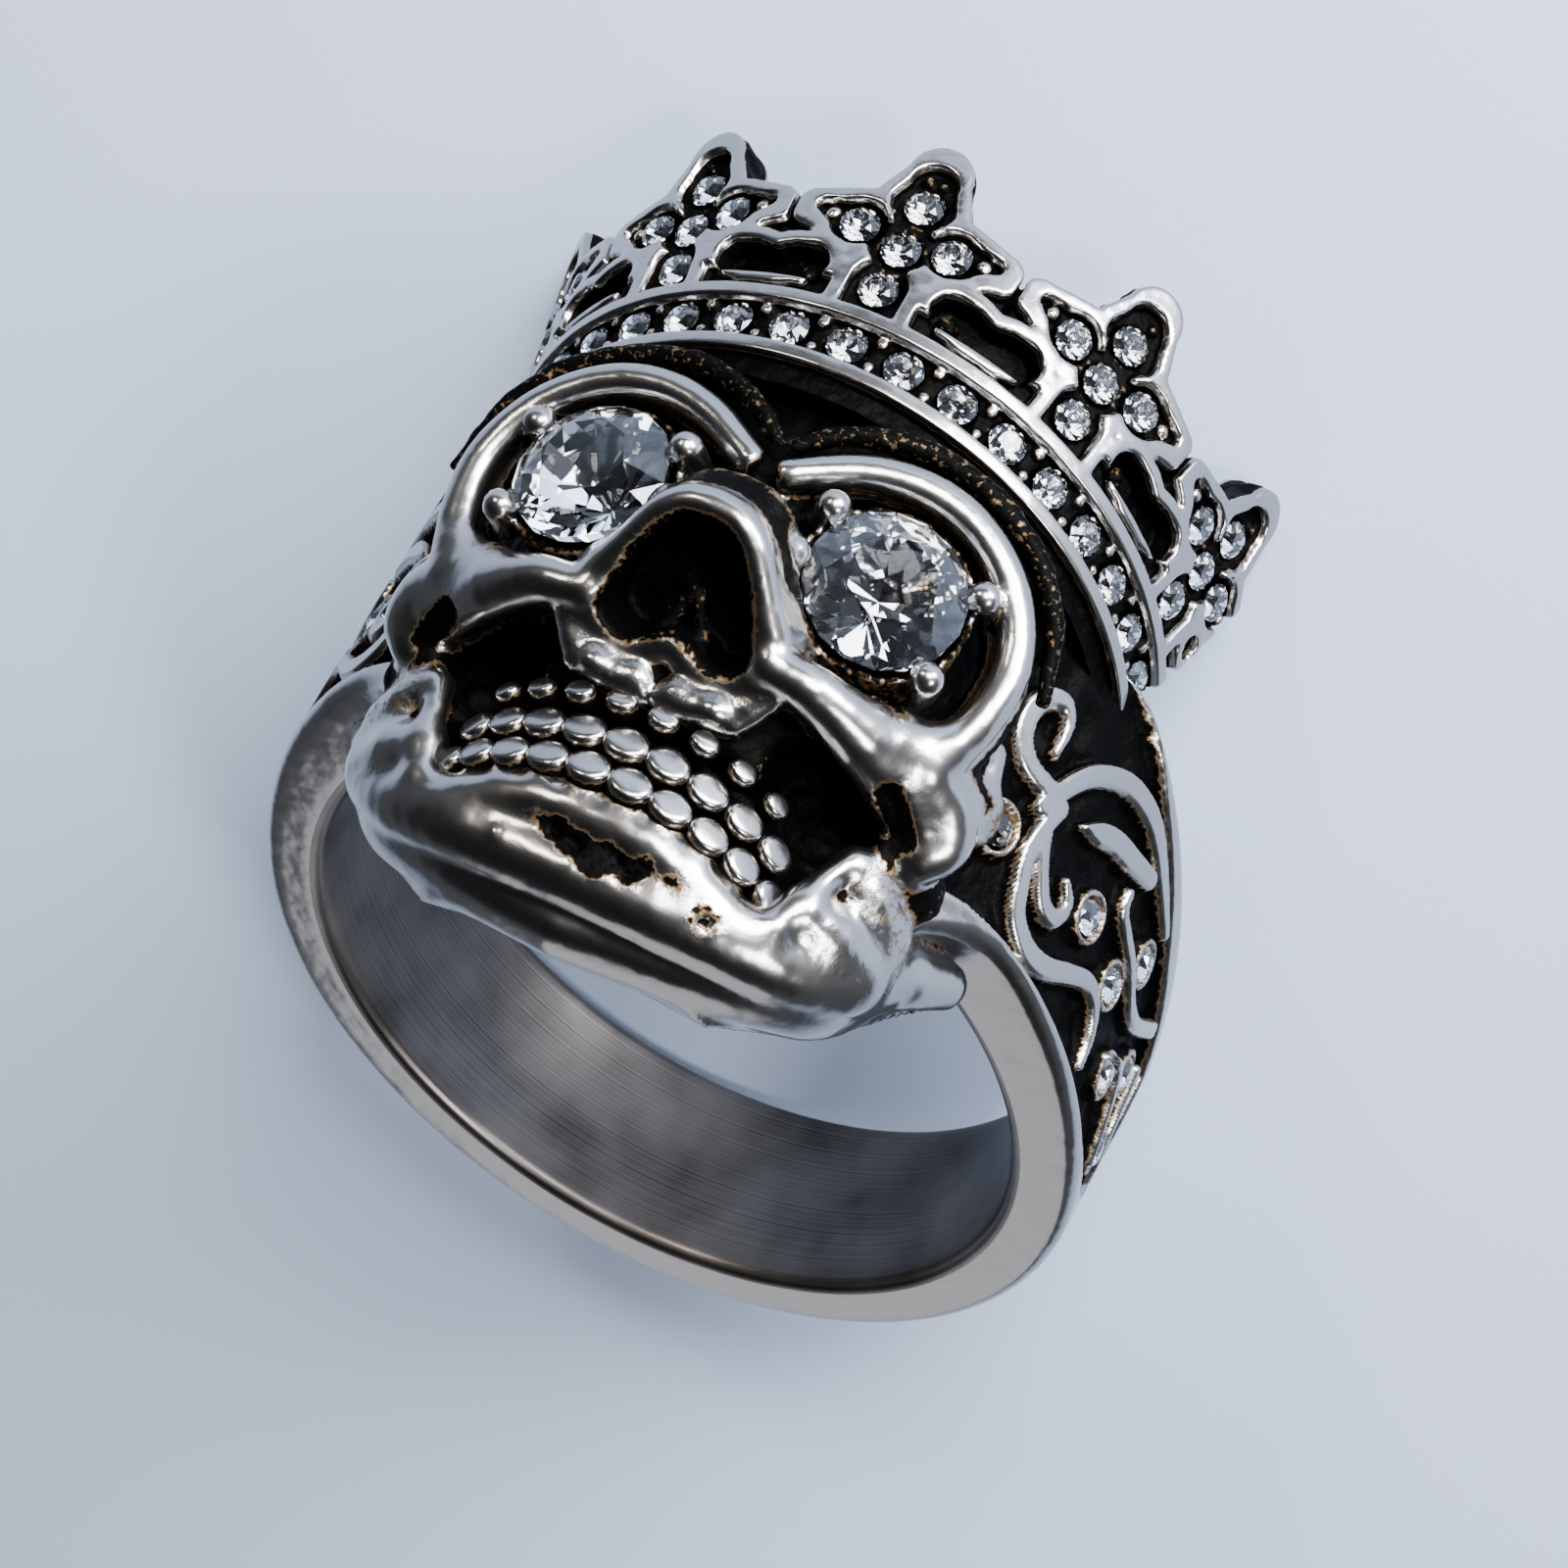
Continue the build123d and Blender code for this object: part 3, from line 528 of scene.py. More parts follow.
NOSE_BOX = ((-1, -20.5, -3.2), (3.6, -13.4, 3.0))
skull.shape(nose_rim, *NOSE_BOX, 0.35, soot=0.85)
skull.shape(nose_polish, *NOSE_BOX, 0.1)
skull.shape(nose_opening, (-1, -20.5, -3.2), (2.4, -13.6, 2.4), 0.3, carve)
print("nose looks", NOSE_OUT.round(2))

# %% Upper lip
NOSE_BONE = [(0, -16.6, 0.55), (0.45, -15.9, -0.1), (0.8, -15.4, -0.9)]  # dark ridge in the nose opening
skull.rod(NOSE_BONE, (0.18, 0.18, 0.14), 0.1, soot=1)
UPPER_LIP = [(0.3, -15.1, -1.45), (1.2, -15.2, -1.42), (1.9, -15.2, -1.25), (2.5, -15.6, -0.85)]
skull.rod(UPPER_LIP, (0.36, 0.38, 0.36, 0.3), 0.35, soot=0.25)
LIP_LUMPS = [(0.5, -15.35, -1.4, 0.22), (1.5, -15.4, -1.5, 0.24), (2.2, -15.3, -1.1, 0.26),
             (2.0, -15.1, -1.5, 0.18)]
for *centre, radius in LIP_LUMPS:
    skull.lump(centre, radius, 0.3, soot=0.25)
print("lumps in each half of the lip", len(LIP_LUMPS))

# %% [markdown]
# ## Teeth and jaw
# The teeth stand on a horseshoe arch: a lower row, an upper row set half a tooth aside, and the small
# roots above. Here each gets only its dark root in the gum; the teeth themselves come later, as pieces
# of their own. The jaw is a bar under them, with a smooth lip along its lower edge.

# %% Places of the teeth
TOOTH_PITCH = 11.0  # degrees round the arch
TOOTH_ROWS = [
    # first tooth and count; level, arch half width and depth; half sizes along, outwards and up
    (0.5, 5, -3.47, 5.2, 5.05, (0.55, 0.36, 0.44)),
    (0.0, 5, -2.68, 5.3, 5.3, (0.56, 0.36, 0.45)),
    (0.5, 4, -1.95, 5.3, 5.75, (0.38, 0.34, 0.31)),
]
TEETH = []  # centre, outward direction and half sizes of each tooth
for first, count, level, wide, deep, size in TOOTH_ROWS:
    for i in range(count):
        turn = math.radians((first + i) * TOOTH_PITCH)
        centre = np.array([wide * math.sin(turn), ARCH_CENTRE - deep * math.cos(turn), level])
        out = np.array([math.sin(turn) / wide, -math.cos(turn) / deep, 0])
        TEETH.append((centre, out / np.linalg.norm(out), np.array(size) * (1 - 0.03 * i)))
        skull.lump(centre - 0.25 * TEETH[-1][1], TEETH[-1][2] * 0.8, 0.1, soot=1)
print("teeth on the right half", len(TEETH))

# %% Chin and jaw
JAW_END = [(6.2, -10.3, -2.2), (6.95, -9.4, -1.7), (7.7, -8.6, -0.9)]  # meets the band's rim
skull.rod(JAW_END, (0.8, 0.8, 0.62), 0.5)
GUM = [(0, -13.5, -4.15), (1.2, -13.45, -4.15), (2.4, -13.1, -4.2), (3.6, -12.4, -4.3), (4.4, -11.9, -4.3)]
skull.rod(GUM, (0.42, 0.42, 0.36), 0.6)
LIP = [(0, -11.6, -5.7), (2.8, -11.27, -5.25), (5.0, -10.5, -4.45), (6.0, -9.75, -3.6), (6.7, -9.2, -2.2)]
LIP_RADII = (0.5, 0.5, 0.46, 0.4)
skull.rod(LIP, LIP_RADII, 0.25)
skull.rod([(x * 0.96, y + 0.6, z) for x, y, z in LIP], LIP_RADII, 0.5)
print("chin's lowest point", LIP[0])

# %% Finger hole, seats and beads of the skull
EYE_BEADS = (152, 191, 30, 324)  # degrees round the eye stone
BEAD_RADIUS = 0.42
HOLE_PLAY, SEAT_PLAY, COLLAR_WALL = 0.04, 0.06, 0.22


def hole_distance(x, y, z):
    return np.sqrt(x**2 + y**2) - (HOLE_RADIUS + HOLE_PLAY)


# a thin wall stands round each eye stone, and inside it is the stone's seat
skull.shape(round_eye(EYE_STONE / 2 + COLLAR_WALL, -1.6, -0.05), EYE - 3, EYE + 3, 0.08, soot=0.45)
skull.shape(round_eye(EYE_STONE / 2 + SEAT_PLAY, -1.7), EYE - 3, EYE + 3, 0.05, carve)
for turn in EYE_BEADS:
    foot = by_eye(turn, EYE_STONE / 2 + BEAD_RADIUS + 0.02, -0.6)
    head = by_eye(turn, EYE_STONE / 2 + BEAD_RADIUS - 0.08, 0.12)
    skull.rod([foot, head], (BEAD_RADIUS * 0.8, BEAD_RADIUS), 0.05)
skull.lump(by_eye(254, EYE_STONE / 2 + 0.5, -0.45), 0.26, 0.05)
skull.shape(hole_distance, *WHOLE_BLOCK, 0.1, carve, soot=0)
print("skull carved, eye beads", len(EYE_BEADS))

# %% [markdown]
# ## The metal
# The metal is cast stainless steel, polished and antiqued: grey and mirror-like with a slightly wavy
# skin. It was dipped black and then tumbled, so the black stays only where the polish could not reach.
# The recess number of each point steers that: bright metal outside, a worn brown edge between, and
# rough black inside with specks. Two materials would do too, but they would meet in a hard border.

# %% Colours and a node helper
def linear(code):
    """sRGB hex colour as the linear RGBA that Blender works in."""
    parts = [int(code[i : i + 2], 16) / 255 for i in (1, 3, 5)]
    return [p / 12.92 if p <= 0.04045 else ((p + 0.055) / 1.055) ** 2.4 for p in parts] + [1.0]


def feed(tree, node, inputs):
    """Sets a node's sockets, by name or number, to values or to other sockets."""
    for name, value in dict(inputs).items():
        if isinstance(value, bpy.types.NodeSocket):
            tree.links.new(value, node.inputs[name])
        else:
            node.inputs[name].default_value = value
    return node


def add_node(tree, kind, inputs=(), **settings):
    """Adds a shader node with its settings and links."""
    node = tree.nodes.new(kind)
    for name, value in settings.items():
        setattr(node, name, value)
    return feed(tree, node, inputs)


def new_material(name):
    material = bpy.data.materials.new(name)
    material.use_nodes = True
    return material, material.node_tree, material.node_tree.nodes["Principled BSDF"]


def ramp(tree, factor, stops):
    node = add_node(tree, "ShaderNodeValToRGB", {"Fac": factor})
    elements = node.color_ramp.elements
    while len(elements) < len(stops):
        elements.new(0.5)
    for element, (place, colour) in zip(elements, stops):
        element.position, element.color = place, colour
    return node.outputs["Color"]


print("white is", linear("#FFFFFF")[:3])

# %% Blackened cast steel
def blackened_steel():
    """Polished casting with an antique black in its recesses: bright rims that seem drawn in ink."""
    material, tree, shader = new_material("blackened_stainless_steel")
    place = add_node(tree, "ShaderNodeTexCoord").outputs["Object"]
    recess = add_node(tree, "ShaderNodeAttribute", attribute_name="recess").outputs["Fac"]
    # lumps 0.16 mm across break up the edge of the black and leave bright specks in it
    grit = add_node(tree, "ShaderNodeTexNoise", {"Vector": place, "Scale": 1 / (0.16 * MM), "Detail": 3.0})
    broken = add_node(tree, "ShaderNodeMath", {0: grit.outputs["Fac"], 1: 0.5}, operation="SUBTRACT")
    spread = add_node(tree, "ShaderNodeMath", {0: broken.outputs[0], 1: 0.9, 2: recess},
                      operation="MULTIPLY_ADD").outputs[0]
    bright, edge, black = linear("#949290"), linear("#5E4C36"), linear("#010101")
    stops = [(0.0, bright), (0.36, bright), (0.5, edge), (0.66, black), (1.0, black)]
    # the black layer is an oxide, not bare metal, so it is dull and reflects far less
    bare = add_node(tree, "ShaderNodeMapRange", {
        "Value": spread, "From Min": 0.45, "From Max": 0.75, "To Min": 1.0, "To Max": 0.0})
    dull = add_node(tree, "ShaderNodeMapRange", {
        "Value": spread, "From Min": 0.3, "From Max": 0.7, "To Min": 0.22, "To Max": 0.55})
    # a wavy skin 1.2 mm across, left by hand polishing, and the fine grain of the casting
    wave = add_node(tree, "ShaderNodeTexNoise", {"Vector": place, "Scale": 1 / (1.2 * MM), "Detail": 2.0})
    soft = add_node(tree, "ShaderNodeBump", {
        "Height": wave.outputs["Fac"], "Distance": 0.06 * MM, "Strength": 0.9})
    rough = add_node(tree, "ShaderNodeMath", {0: recess, 1: 0.9, 2: 0.06}, operation="MULTIPLY_ADD")
    grain = add_node(tree, "ShaderNodeBump", {
        "Height": grit.outputs["Fac"], "Distance": 0.05 * MM, "Strength": rough.outputs[0],
        "Normal": soft.outputs["Normal"]})
    feed(tree, shader, {
        "Base Color": ramp(tree, spread, stops), "Metallic": bare.outputs["Result"],
        "Roughness": dull.outputs["Result"], "Specular IOR Level": 0.02, "Normal": grain.outputs["Normal"]})
    return material


cast_steel = blackened_steel()
print("material", cast_steel.name)

# %% Brushed steel of the bore, with painted shade
def brushed_steel_with_painted_shade():
    """Turned lines round the finger, a satin grey darkened with painted shade of the ring's shadowed inside:
    the noise varies along the finger only.
    """
    material, tree, shader = new_material("brushed_steel_painted_shade")
    place = add_node(tree, "ShaderNodeTexCoord").outputs["Object"]
    level = add_node(tree, "ShaderNodeVectorMath", {0: place, 1: finger_axis.tolist()},
                     operation="DOT_PRODUCT")
    # brush lines are about 0.02 mm apart, drawn at 0.07 mm so that they show
    lines = add_node(tree, "ShaderNodeTexNoise", {
        "W": level.outputs["Value"], "Scale": 1 / (0.07 * MM), "Detail": 3.0}, noise_dimensions="1D")
    stain = add_node(tree, "ShaderNodeTexNoise", {"Vector": place, "Scale": 1 / (3.0 * MM), "Detail": 2.0})
    both = add_node(tree, "ShaderNodeMath", {0: lines.outputs["Fac"], 1: 0.6, 2: stain.outputs["Fac"]},
                    operation="MULTIPLY_ADD")
    # the dark brown-greys of this ramp are painted shade for the shadowed inside of the ring; the brush
    # lines and stains in them are the metal's own
    colour = ramp(tree, both.outputs[0], [(0.45, linear("#3E3A38")), (1.1, linear("#7C7773"))])
    groove = add_node(tree, "ShaderNodeBump", {
        "Height": lines.outputs["Fac"], "Distance": 0.01 * MM, "Strength": 0.5})
    feed(tree, shader, {
        "Base Color": colour, "Metallic": 1.0, "Roughness": 0.38, "Normal": groove.outputs["Normal"]})
    return material


bore_steel_painted_shade = brushed_steel_with_painted_shade()
print("material", bore_steel_painted_shade.name)

# %% Making a piece
def make_piece(name, points, faces, nodes, materials, attributes=(), smooth=True):
    """A mesh in upright millimetres becomes a piece of the ring."""
    mesh = bpy.data.meshes.new(name)
    mesh.from_pydata(lay_down(points).tolist(), [], [list(map(int, face)) for face in faces])
    for key, values in dict(attributes).items():
        mesh.attributes.new(key, "FLOAT", "POINT").data.foreach_set("value", np.asarray(values, np.float32))
    mesh.polygons.foreach_set("use_smooth", [smooth] * len(mesh.polygons))
    for material in materials:
        mesh.materials.append(material)
    piece = bpy.data.objects.new(name, mesh)
    bpy.context.collection.objects.link(piece)
    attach(piece, "root")
    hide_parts(*nodes)
    print(name, "triangles", sum(len(face) - 2 for face in faces))
    return piece


def cast_piece(name, points, quads, recess, *more_materials):
    """A piece of the one steel casting, with how black it is at each point."""
    materials = [cast_steel, *more_materials]
    return make_piece(name, points, quads, ["ring_body"], materials, {"recess": recess})


def recess_of(depth, soot):
    """How black a point stays: carved walls and deep corners are black, polished edges are not."""
    deep = np.maximum(step_up(depth[0], 0.55, 0.7), step_up(depth[1], 0.58, 0.8))
    edge = step_up(-depth[0], -0.47, -0.38)
    return np.clip(np.maximum(deep, soot * (1 - 0.27 * edge)), 0, 1)


def roughened(points, quads, recess, coarse, fine, seed):
    """Lumps in the recesses; coarse and fine are a height and a size in mm."""
    rough = coarse[0] * lumps(points, coarse[1], seed) + fine[0] * lumps(points, fine[1], seed + 1)
    return points + normals_of(points, quads) * (rough * recess)[:, None]


def mirrored(half, first):
    """Both halves of a block from its right half; `first` is the plane at x = 0."""
    return np.concatenate([half[:first:-1], half[first:]])


print("a point deep in a black corner gets", float(recess_of((0.8, 0.8), 1.0)))

# %% The skull becomes metal
skull.field, skull.soot = mirrored(skull.field, 2), mirrored(skull.soot, 2)
skull.axes[0] = np.concatenate([-skull.axes[0][:2:-1], skull.axes[0][2:]])
# pits of this one casting, on the chin and at the jaw's corner, so not mirrored
chance = np.random.default_rng(7)
CHIN_PITS = [(-1.1, -13.3, -4.6), (0.2, -13.35, -4.75), (1.3, -13.2, -4.8), (2.9, -12.8, -4.7)]
JAW_LUMPS = [(1.9, -13.0, -5.0), (3.1, -12.6, -4.9), (5.7, -11.9, -2.9), (6.3, -11.3, -2.3),
             (-1.9, -13.0, -5.2)]
for place in curve(CHIN_PITS, 4):
    pit = place + chance.uniform(-0.38, 0.38, 3) * (1, 0.1, 1)
    skull.lump(pit, chance.uniform(0.06, 0.15, 3) + (0.05, 0.03, 0), 0.06, carve)
for place in JAW_LUMPS:
    skull.lump(place, chance.uniform(0.12, 0.2, 3), 0.1)
corner = np.array([a[0] for a in skull.axes])
points, quads, depth = skin(skull.field, corner, SKULL_STEP)
recess = recess_of(depth, read(skull.soot, (points - corner) / SKULL_STEP))
cast_piece("skull", roughened(points, quads, recess, (0.05, 0.3), (0.03, 0.16), 1), quads, recess)

# %% [markdown]
# ## The teeth
# Each tooth is a flat-topped pebble, part of the same casting. They are meshed on their own, because
# their tight black gaps are finer than the clay's grid. Their sides are black where they near the gum.

# %% A pebble
def pebble(centre, out, half, around=28, rows=12):
    """Oval seen from in front, flat on top: points, faces and how black each point is."""
    along, up = np.array([-out[1], out[0], 0]), np.array([0, 0, 1])
    theta = np.linspace(0, math.pi, rows + 1)[1:-1]
    phi = 2 * math.pi * np.arange(around) / around
    wide, deep = np.sin(theta) ** 0.4, np.sign(np.cos(theta)) * np.abs(np.cos(theta)) ** 0.4
    shell = np.cos(phi)[None, :, None] * along * half[0] + np.sin(phi)[None, :, None] * up * half[2]
    shell = wide[:, None, None] * shell + deep[:, None, None] * out * half[1]
    points = centre + np.vstack([shell.reshape(-1, 3), [out * half[1], -out * half[1]]])
    front, back, last = len(points) - 2, len(points) - 1, (rows - 2) * around
    faces = []
    for i in range(around):
        j = (i + 1) % around
        faces += [(front, i, j), (back, last + j, last + i)]
        faces += [(r + i, r + around + i, r + around + j, r + j) for r in range(0, last, around)]
    return points, faces, step_up(np.append(np.repeat(-deep, around), [-1, 1]), -0.85, -0.1)


print("a pebble has", len(pebble(*TEETH[0])[1]), "faces")

# %% The teeth become metal
points, faces, black = [], [], []
for centre, out, half in TEETH:
    for side in (1, -1) if centre[0] > 0.01 else (1,):
        p, f, s = pebble(centre * (side, 1, 1), out * (side, 1, 1), half)
        faces += [tuple(v + sum(map(len, points)) for v in face) for face in f]
        points.append(p)
        black.append(s)
cast_piece("teeth", np.vstack(points), faces, np.concatenate(black))

# %% [markdown]
# ## The crown
# The crown is a flared wall. Seen square on, it is a drawing in relief: two flat rails with the row of
# stones between, five trefoils with sunk fields, and looped recesses. So its relief is one height map,
# drawn along the wall and up its slope, and the clay is everything behind that height.

# %% Crown frame
CROWN_RADIUS, CROWN_FLARE, CROWN_LEVEL = 9.2, math.radians(15.5), 8.05
CROWN_END = math.radians(81)
SPIKE_PITCH = math.radians(34.5)
STONE_PITCH = math.radians(9.6)
CROWN_STEP = 0.0795
CROWN_DEPTH = 1.35


def from_crown(along, up, out):
    """Crown drawing (mm along the stone row, up the slope, out of the face) to upright mm."""
    turn = along / CROWN_RADIUS
    reach = CROWN_RADIUS + up * math.sin(CROWN_FLARE) + out * math.cos(CROWN_FLARE)
    level = CROWN_LEVEL + up * math.cos(CROWN_FLARE) - out * math.sin(CROWN_FLARE)
    return np.stack([reach * np.sin(turn), -CROWN_AXIS - reach * np.cos(turn), level], axis=-1)


along = np.arange(-3 * CROWN_STEP, CROWN_RADIUS * CROWN_END + 0.6, CROWN_STEP)
up = np.arange(-1.6, 6.9, CROWN_STEP)
A, V = np.meshgrid(along, up, indexing="ij")
stretch = 1 + V * math.sin(CROWN_FLARE) / CROWN_RADIUS
print("crown drawing", A.shape)

# %% Drawing tools
def from_spike(number):
    """Drawing coordinates measured from a spike's middle, in true mm."""
    return (A - number * SPIKE_PITCH * CROWN_RADIUS) * stretch


def stroke(a, b, line, radii=(0.0,)):
    return tube_distance((a, b), np.array(line, float), radii)


def raised(height, distance, top, round_edge=0.09):
    """Draws a flat-topped form with rounded edges: distance is negative inside it."""
    t = np.clip(-distance / round_edge, 0, 1)
    return np.maximum(height, np.where(t > 0, height + (top - height) * np.sqrt(1 - (1 - t) ** 2), height))


def grain(height, distance, radius, floor):
    """A round bead that sits in the floor."""
    ball = floor + np.sqrt(np.maximum(radius**2 - distance**2, 0))
    return np.maximum(height, np.where(distance < radius, ball, -9))


print("a bead in the middle stands", float(grain(np.zeros(1), np.zeros(1), 0.2, 0)[0]), "mm high")

# %% Trefoils
SPIKE_STONES = [(0.0, 1.76), (0.0, 3.04), (0.0, 4.416), (-1.216, 3.328), (1.216, 3.328)]
FIELD_STROKES = [  # line, radii
    ([(0, 4.42), (0, 4.95)], (0.8, 0.58)),
    ([(1.2, 3.33), (1.3, 3.36)], (0.64, 0.62)),
    ([(1.3, 3.38), (2.3, 3.62)], (0.56, 0.16)),
    ([(0, 3.04), (0, 3.1)], (0.75, 0.75)),
    ([(0, 0.6), (0, 1.8)], (0.7, 0.68)),
]


def spike_field(a):
    """Distance from the sunk field of a trefoil."""
    shapes = [stroke(np.abs(a), V, line, radii) for line, radii in FIELD_STROKES]
    out = shapes[0]
    for shape in shapes[1:]:
        out = blend(out, shape, 0.12)
    return out


def spike_edge(a):
    """Distance from the outside of a trefoil."""
    side = np.abs(a)
    lobe = stroke(side, V, [(0, 4.6), (0, 5.35)], (1.24, 0.88))
    arm = stroke(side, V, [(1.2, 3.42), (2.52, 3.56)], (1.08, 0.62))
    return blend(lobe, arm, 0.2)


print("trefoil stones", SPIKE_STONES)

# %% Trefoil relief
FLOOR = -0.34
SPIKE_RIM = 0.48
height = np.full(A.shape, FLOOR)
outline = np.maximum(V - 1.35, -(V + 1.02))
for number in range(3):
    a = from_spike(number)
    field, edge = spike_field(a), spike_edge(a)
    outline = np.minimum(outline, np.minimum(edge, np.maximum(np.abs(a) - 3.1, V - 3.3)))
    rim = np.maximum(-field, np.minimum(edge, np.maximum(field - SPIKE_RIM, V - 3.4)))
    rim = np.maximum(rim, 0.6 - V)  # stops at the rail, clear of the stone row
    height = raised(height, rim, 0.0)
print("share of the drawing inside the outline", round(float((outline < 0).mean()), 2))

# %% Looped recesses between the trefoils
LOOP = curve([(-1.0, 1.86), (-0.55, 1.82), (0, 1.72), (0.55, 1.82), (1.0, 1.86)])
BAR = [(-1.05, 1.27), (-0.3, 1.22), (0.6, 1.22), (1.1, 1.3)]
for number in (0.5, 1.5):
    a = from_spike(number)
    loop = stroke(a, V, LOOP, (0.5, 0.48, 0.42, 0.48, 0.5))
    rim = np.maximum(np.maximum(-loop, loop - 0.46), 1.3 - V + 0.25 * (np.abs(a) > 1.2))
    height = np.where(loop < 0.3, np.where(loop < 0, -0.75, height), height)
    height = raised(height, rim, 0.02)
    height = raised(height, stroke(a, V, BAR, (0.12, 0.19, 0.18, 0.08)), -0.02)
    height = grain(height, np.hypot(a + 1.0, V - 1.8), 0.3, -0.62)
    crack = stroke(a, V, [(0, 2.9), (0, 5.5)], (0.06,))
    height = np.where(crack < 0, -0.6, height)
eyelet = np.hypot(from_spike(2) - 1.62, V - 1.95)  # a small ring beside the outer trefoil
height = np.where(eyelet < 0.3, -0.8, raised(height, np.abs(eyelet - 0.48) - 0.2, 0.02))
print("relief from", round(float(height.min()), 2), "to", round(float(height.max()), 2), "mm")

# %% Rails, seats and beads
RAIL_LEVEL, RAIL_HALF_WIDTH = 0.78, 0.25
SEAT_RADIUS = 0.53
SPIKE_BEADS = [  # along, up, radius
    (0.7, 2.34, 0.24), (-0.7, 2.34, 0.24), (0.72, 3.95, 0.2), (-0.72, 3.95, 0.2),
    (2.05, 3.55, 0.24), (-2.05, 3.55, 0.24), (0.2, 5.18, 0.17)]
for level in (-RAIL_LEVEL, RAIL_LEVEL):
    height = raised(height, np.abs(V - level) - RAIL_HALF_WIDTH, 0.0)
seats = []
for i in range(9):
    seats.append(np.hypot(A - i * STONE_PITCH * CROWN_RADIUS, V))
    for side in (-1, 1):
        middle = (i + 0.5) * STONE_PITCH * CROWN_RADIUS
        height = grain(height, np.hypot(A - middle, V - side * 0.38), 0.2, FLOOR)
for number in range(3):
    a = from_spike(number)
    seats += [np.hypot(a - sa, V - sv) for sa, sv in SPIKE_STONES]
    for sa, sv, radius in SPIKE_BEADS:
        height = grain(height, np.hypot(a - sa, V - sv), radius, FLOOR)
seat = np.minimum.reduce(seats)
height = np.where(seat < SEAT_RADIUS, np.minimum(height, FLOOR - 0.42), height)
outline = np.maximum(outline, A - CROWN_RADIUS * CROWN_END)
print("seats on the right half", len(seats))

# %% The crown becomes metal
out = np.arange(-CROWN_DEPTH - 0.25, 0.3, CROWN_STEP)
slope = np.stack(np.gradient(height, CROWN_STEP), axis=-1)
steep = np.sqrt(1 + np.minimum((slope**2).sum(-1), 9.0))
front = (out[None, None, :] - height[:, :, None]) / steep[:, :, None]
back = -(out + CROWN_DEPTH)[None, None, :]
crown_field = carve(np.maximum(front, back), -outline[:, :, None] + 0 * front, 0.12).astype(np.float32)
corner = np.array([-along[-1], up[0], out[0]])
drawn, quads, depth = skin(mirrored(crown_field, 3), corner, CROWN_STEP, rounds=1, reaches=(0.16, 0.4))
points = from_crown(*drawn.T)
soot = step_up(-drawn[:, 2], 0.13, 0.22) * (drawn[:, 2] > -1.2)
recess = recess_of(depth, soot)
cast_piece("crown", roughened(points, quads, recess, (0.04, 0.25), (0.02, 0.14), 3), quads, recess)

# %% [markdown]
# ## The band and its scrolled shoulders
# The band was turned and brushed; its shoulders rise into the skull and carry cut scrolls. It is built
# as rings of one rounded section, close together where the scrolls are, because that keeps its edges
# crisp and its bore truly round. The scroll relief is a height map again, drawn in degrees round the
# finger and millimetres along it.

# %% Band surfaces
BAND_RADIUS, SHOULDER_SIDE = 12.1, 12.4
RIM_FRONT, SHOULDER_FRONT = 13.6, 17.2
BAND_WIDTH = 6.15


def band_oval(level):
    """Half width and depth of the band's outside at a level."""
    rise = level / CROWN_LEVEL
    side = BAND_RADIUS + (SHOULDER_SIDE - BAND_RADIUS) * rise
    return side, RIM_FRONT + (SHOULDER_FRONT - RIM_FRONT) * rise


def band_surface(turn, level):
    """Distance of the outside from the finger's axis, at an angle from the face in degrees."""
    side, front = band_oval(level)
    t = np.radians(turn)
    oval = 1 / np.sqrt((np.sin(t) / side) ** 2 + (np.cos(t) / front) ** 2)
    return np.where(np.abs(turn) < 90, oval, side)


def band_top(turn):
    """The crown-side rim rises towards the face."""
    forward = np.maximum(0, SHOULDER_SIDE * np.cos(np.radians(turn)))
    return BAND_WIDTH + 1.6 * np.minimum(forward / CROWN_RADIUS, 1)


def band_bottom(turn):
    """The chin-side rim drops under the jaw."""
    return -1.4 * np.clip((50 - np.abs(turn)) / 17, 0, 1) ** 3


print("band outside at the side and in front", band_surface(90, 0), band_surface(0, 0))

# %% Band section
EDGE = 0.35  # radius of the rounded edges
ACROSS = 116  # rows over the outside
corner = np.radians(np.linspace(0, 90, 6))
rows = []  # outerness, extra reach, upness, extra level
rows += [(0, 0, u, EDGE * (1 - 2 * u)) for u in np.linspace(1, 0, 26)]
rows += [(0, EDGE * (1 - math.cos(c)), 0, EDGE * (1 - math.sin(c))) for c in corner[1:]]
rows += [(o, EDGE * (1 - 2 * o), 0, 0) for o in (0.3, 0.7)]
rows += [(1, -EDGE * (1 - math.sin(c)), 0, EDGE * (1 - math.cos(c))) for c in corner]
rows += [(1, 0, u, EDGE * (1 - 2 * u)) for u in np.linspace(0, 1, ACROSS + 2)[1:-1]]
rows += [(1, -EDGE * (1 - math.cos(c)), 1, -EDGE * (1 - math.sin(c))) for c in corner]
rows += [(o, EDGE * (1 - 2 * o), 1, 0) for o in (0.7, 0.3)]
rows += [(0, EDGE * (1 - math.sin(c)), 1, -EDGE * (1 - math.cos(c))) for c in corner[:-1]]
rows = np.array(rows)
fine = np.arange(22, 102, 0.31)  # degrees, where the scrolls are
turns = np.concatenate([np.arange(-180, -102, 3.0), -fine[::-1], np.arange(-20, 21, 2.0), fine,
                        np.arange(104, 180, 3.0)])
T, OUTER = np.meshgrid(turns, rows[:, 0], indexing="ij")
level = band_bottom(T) + (band_top(T) - band_bottom(T)) * rows[:, 2] + rows[:, 3]
behind_face = 1 - 0.75 * step_up(-np.abs(T), -28, -22)  # drawn in, so it is hidden inside the skull
reach = HOLE_RADIUS + (band_surface(T, level) - HOLE_RADIUS) * behind_face * OUTER + rows[:, 1]
print("band grid", T.shape)

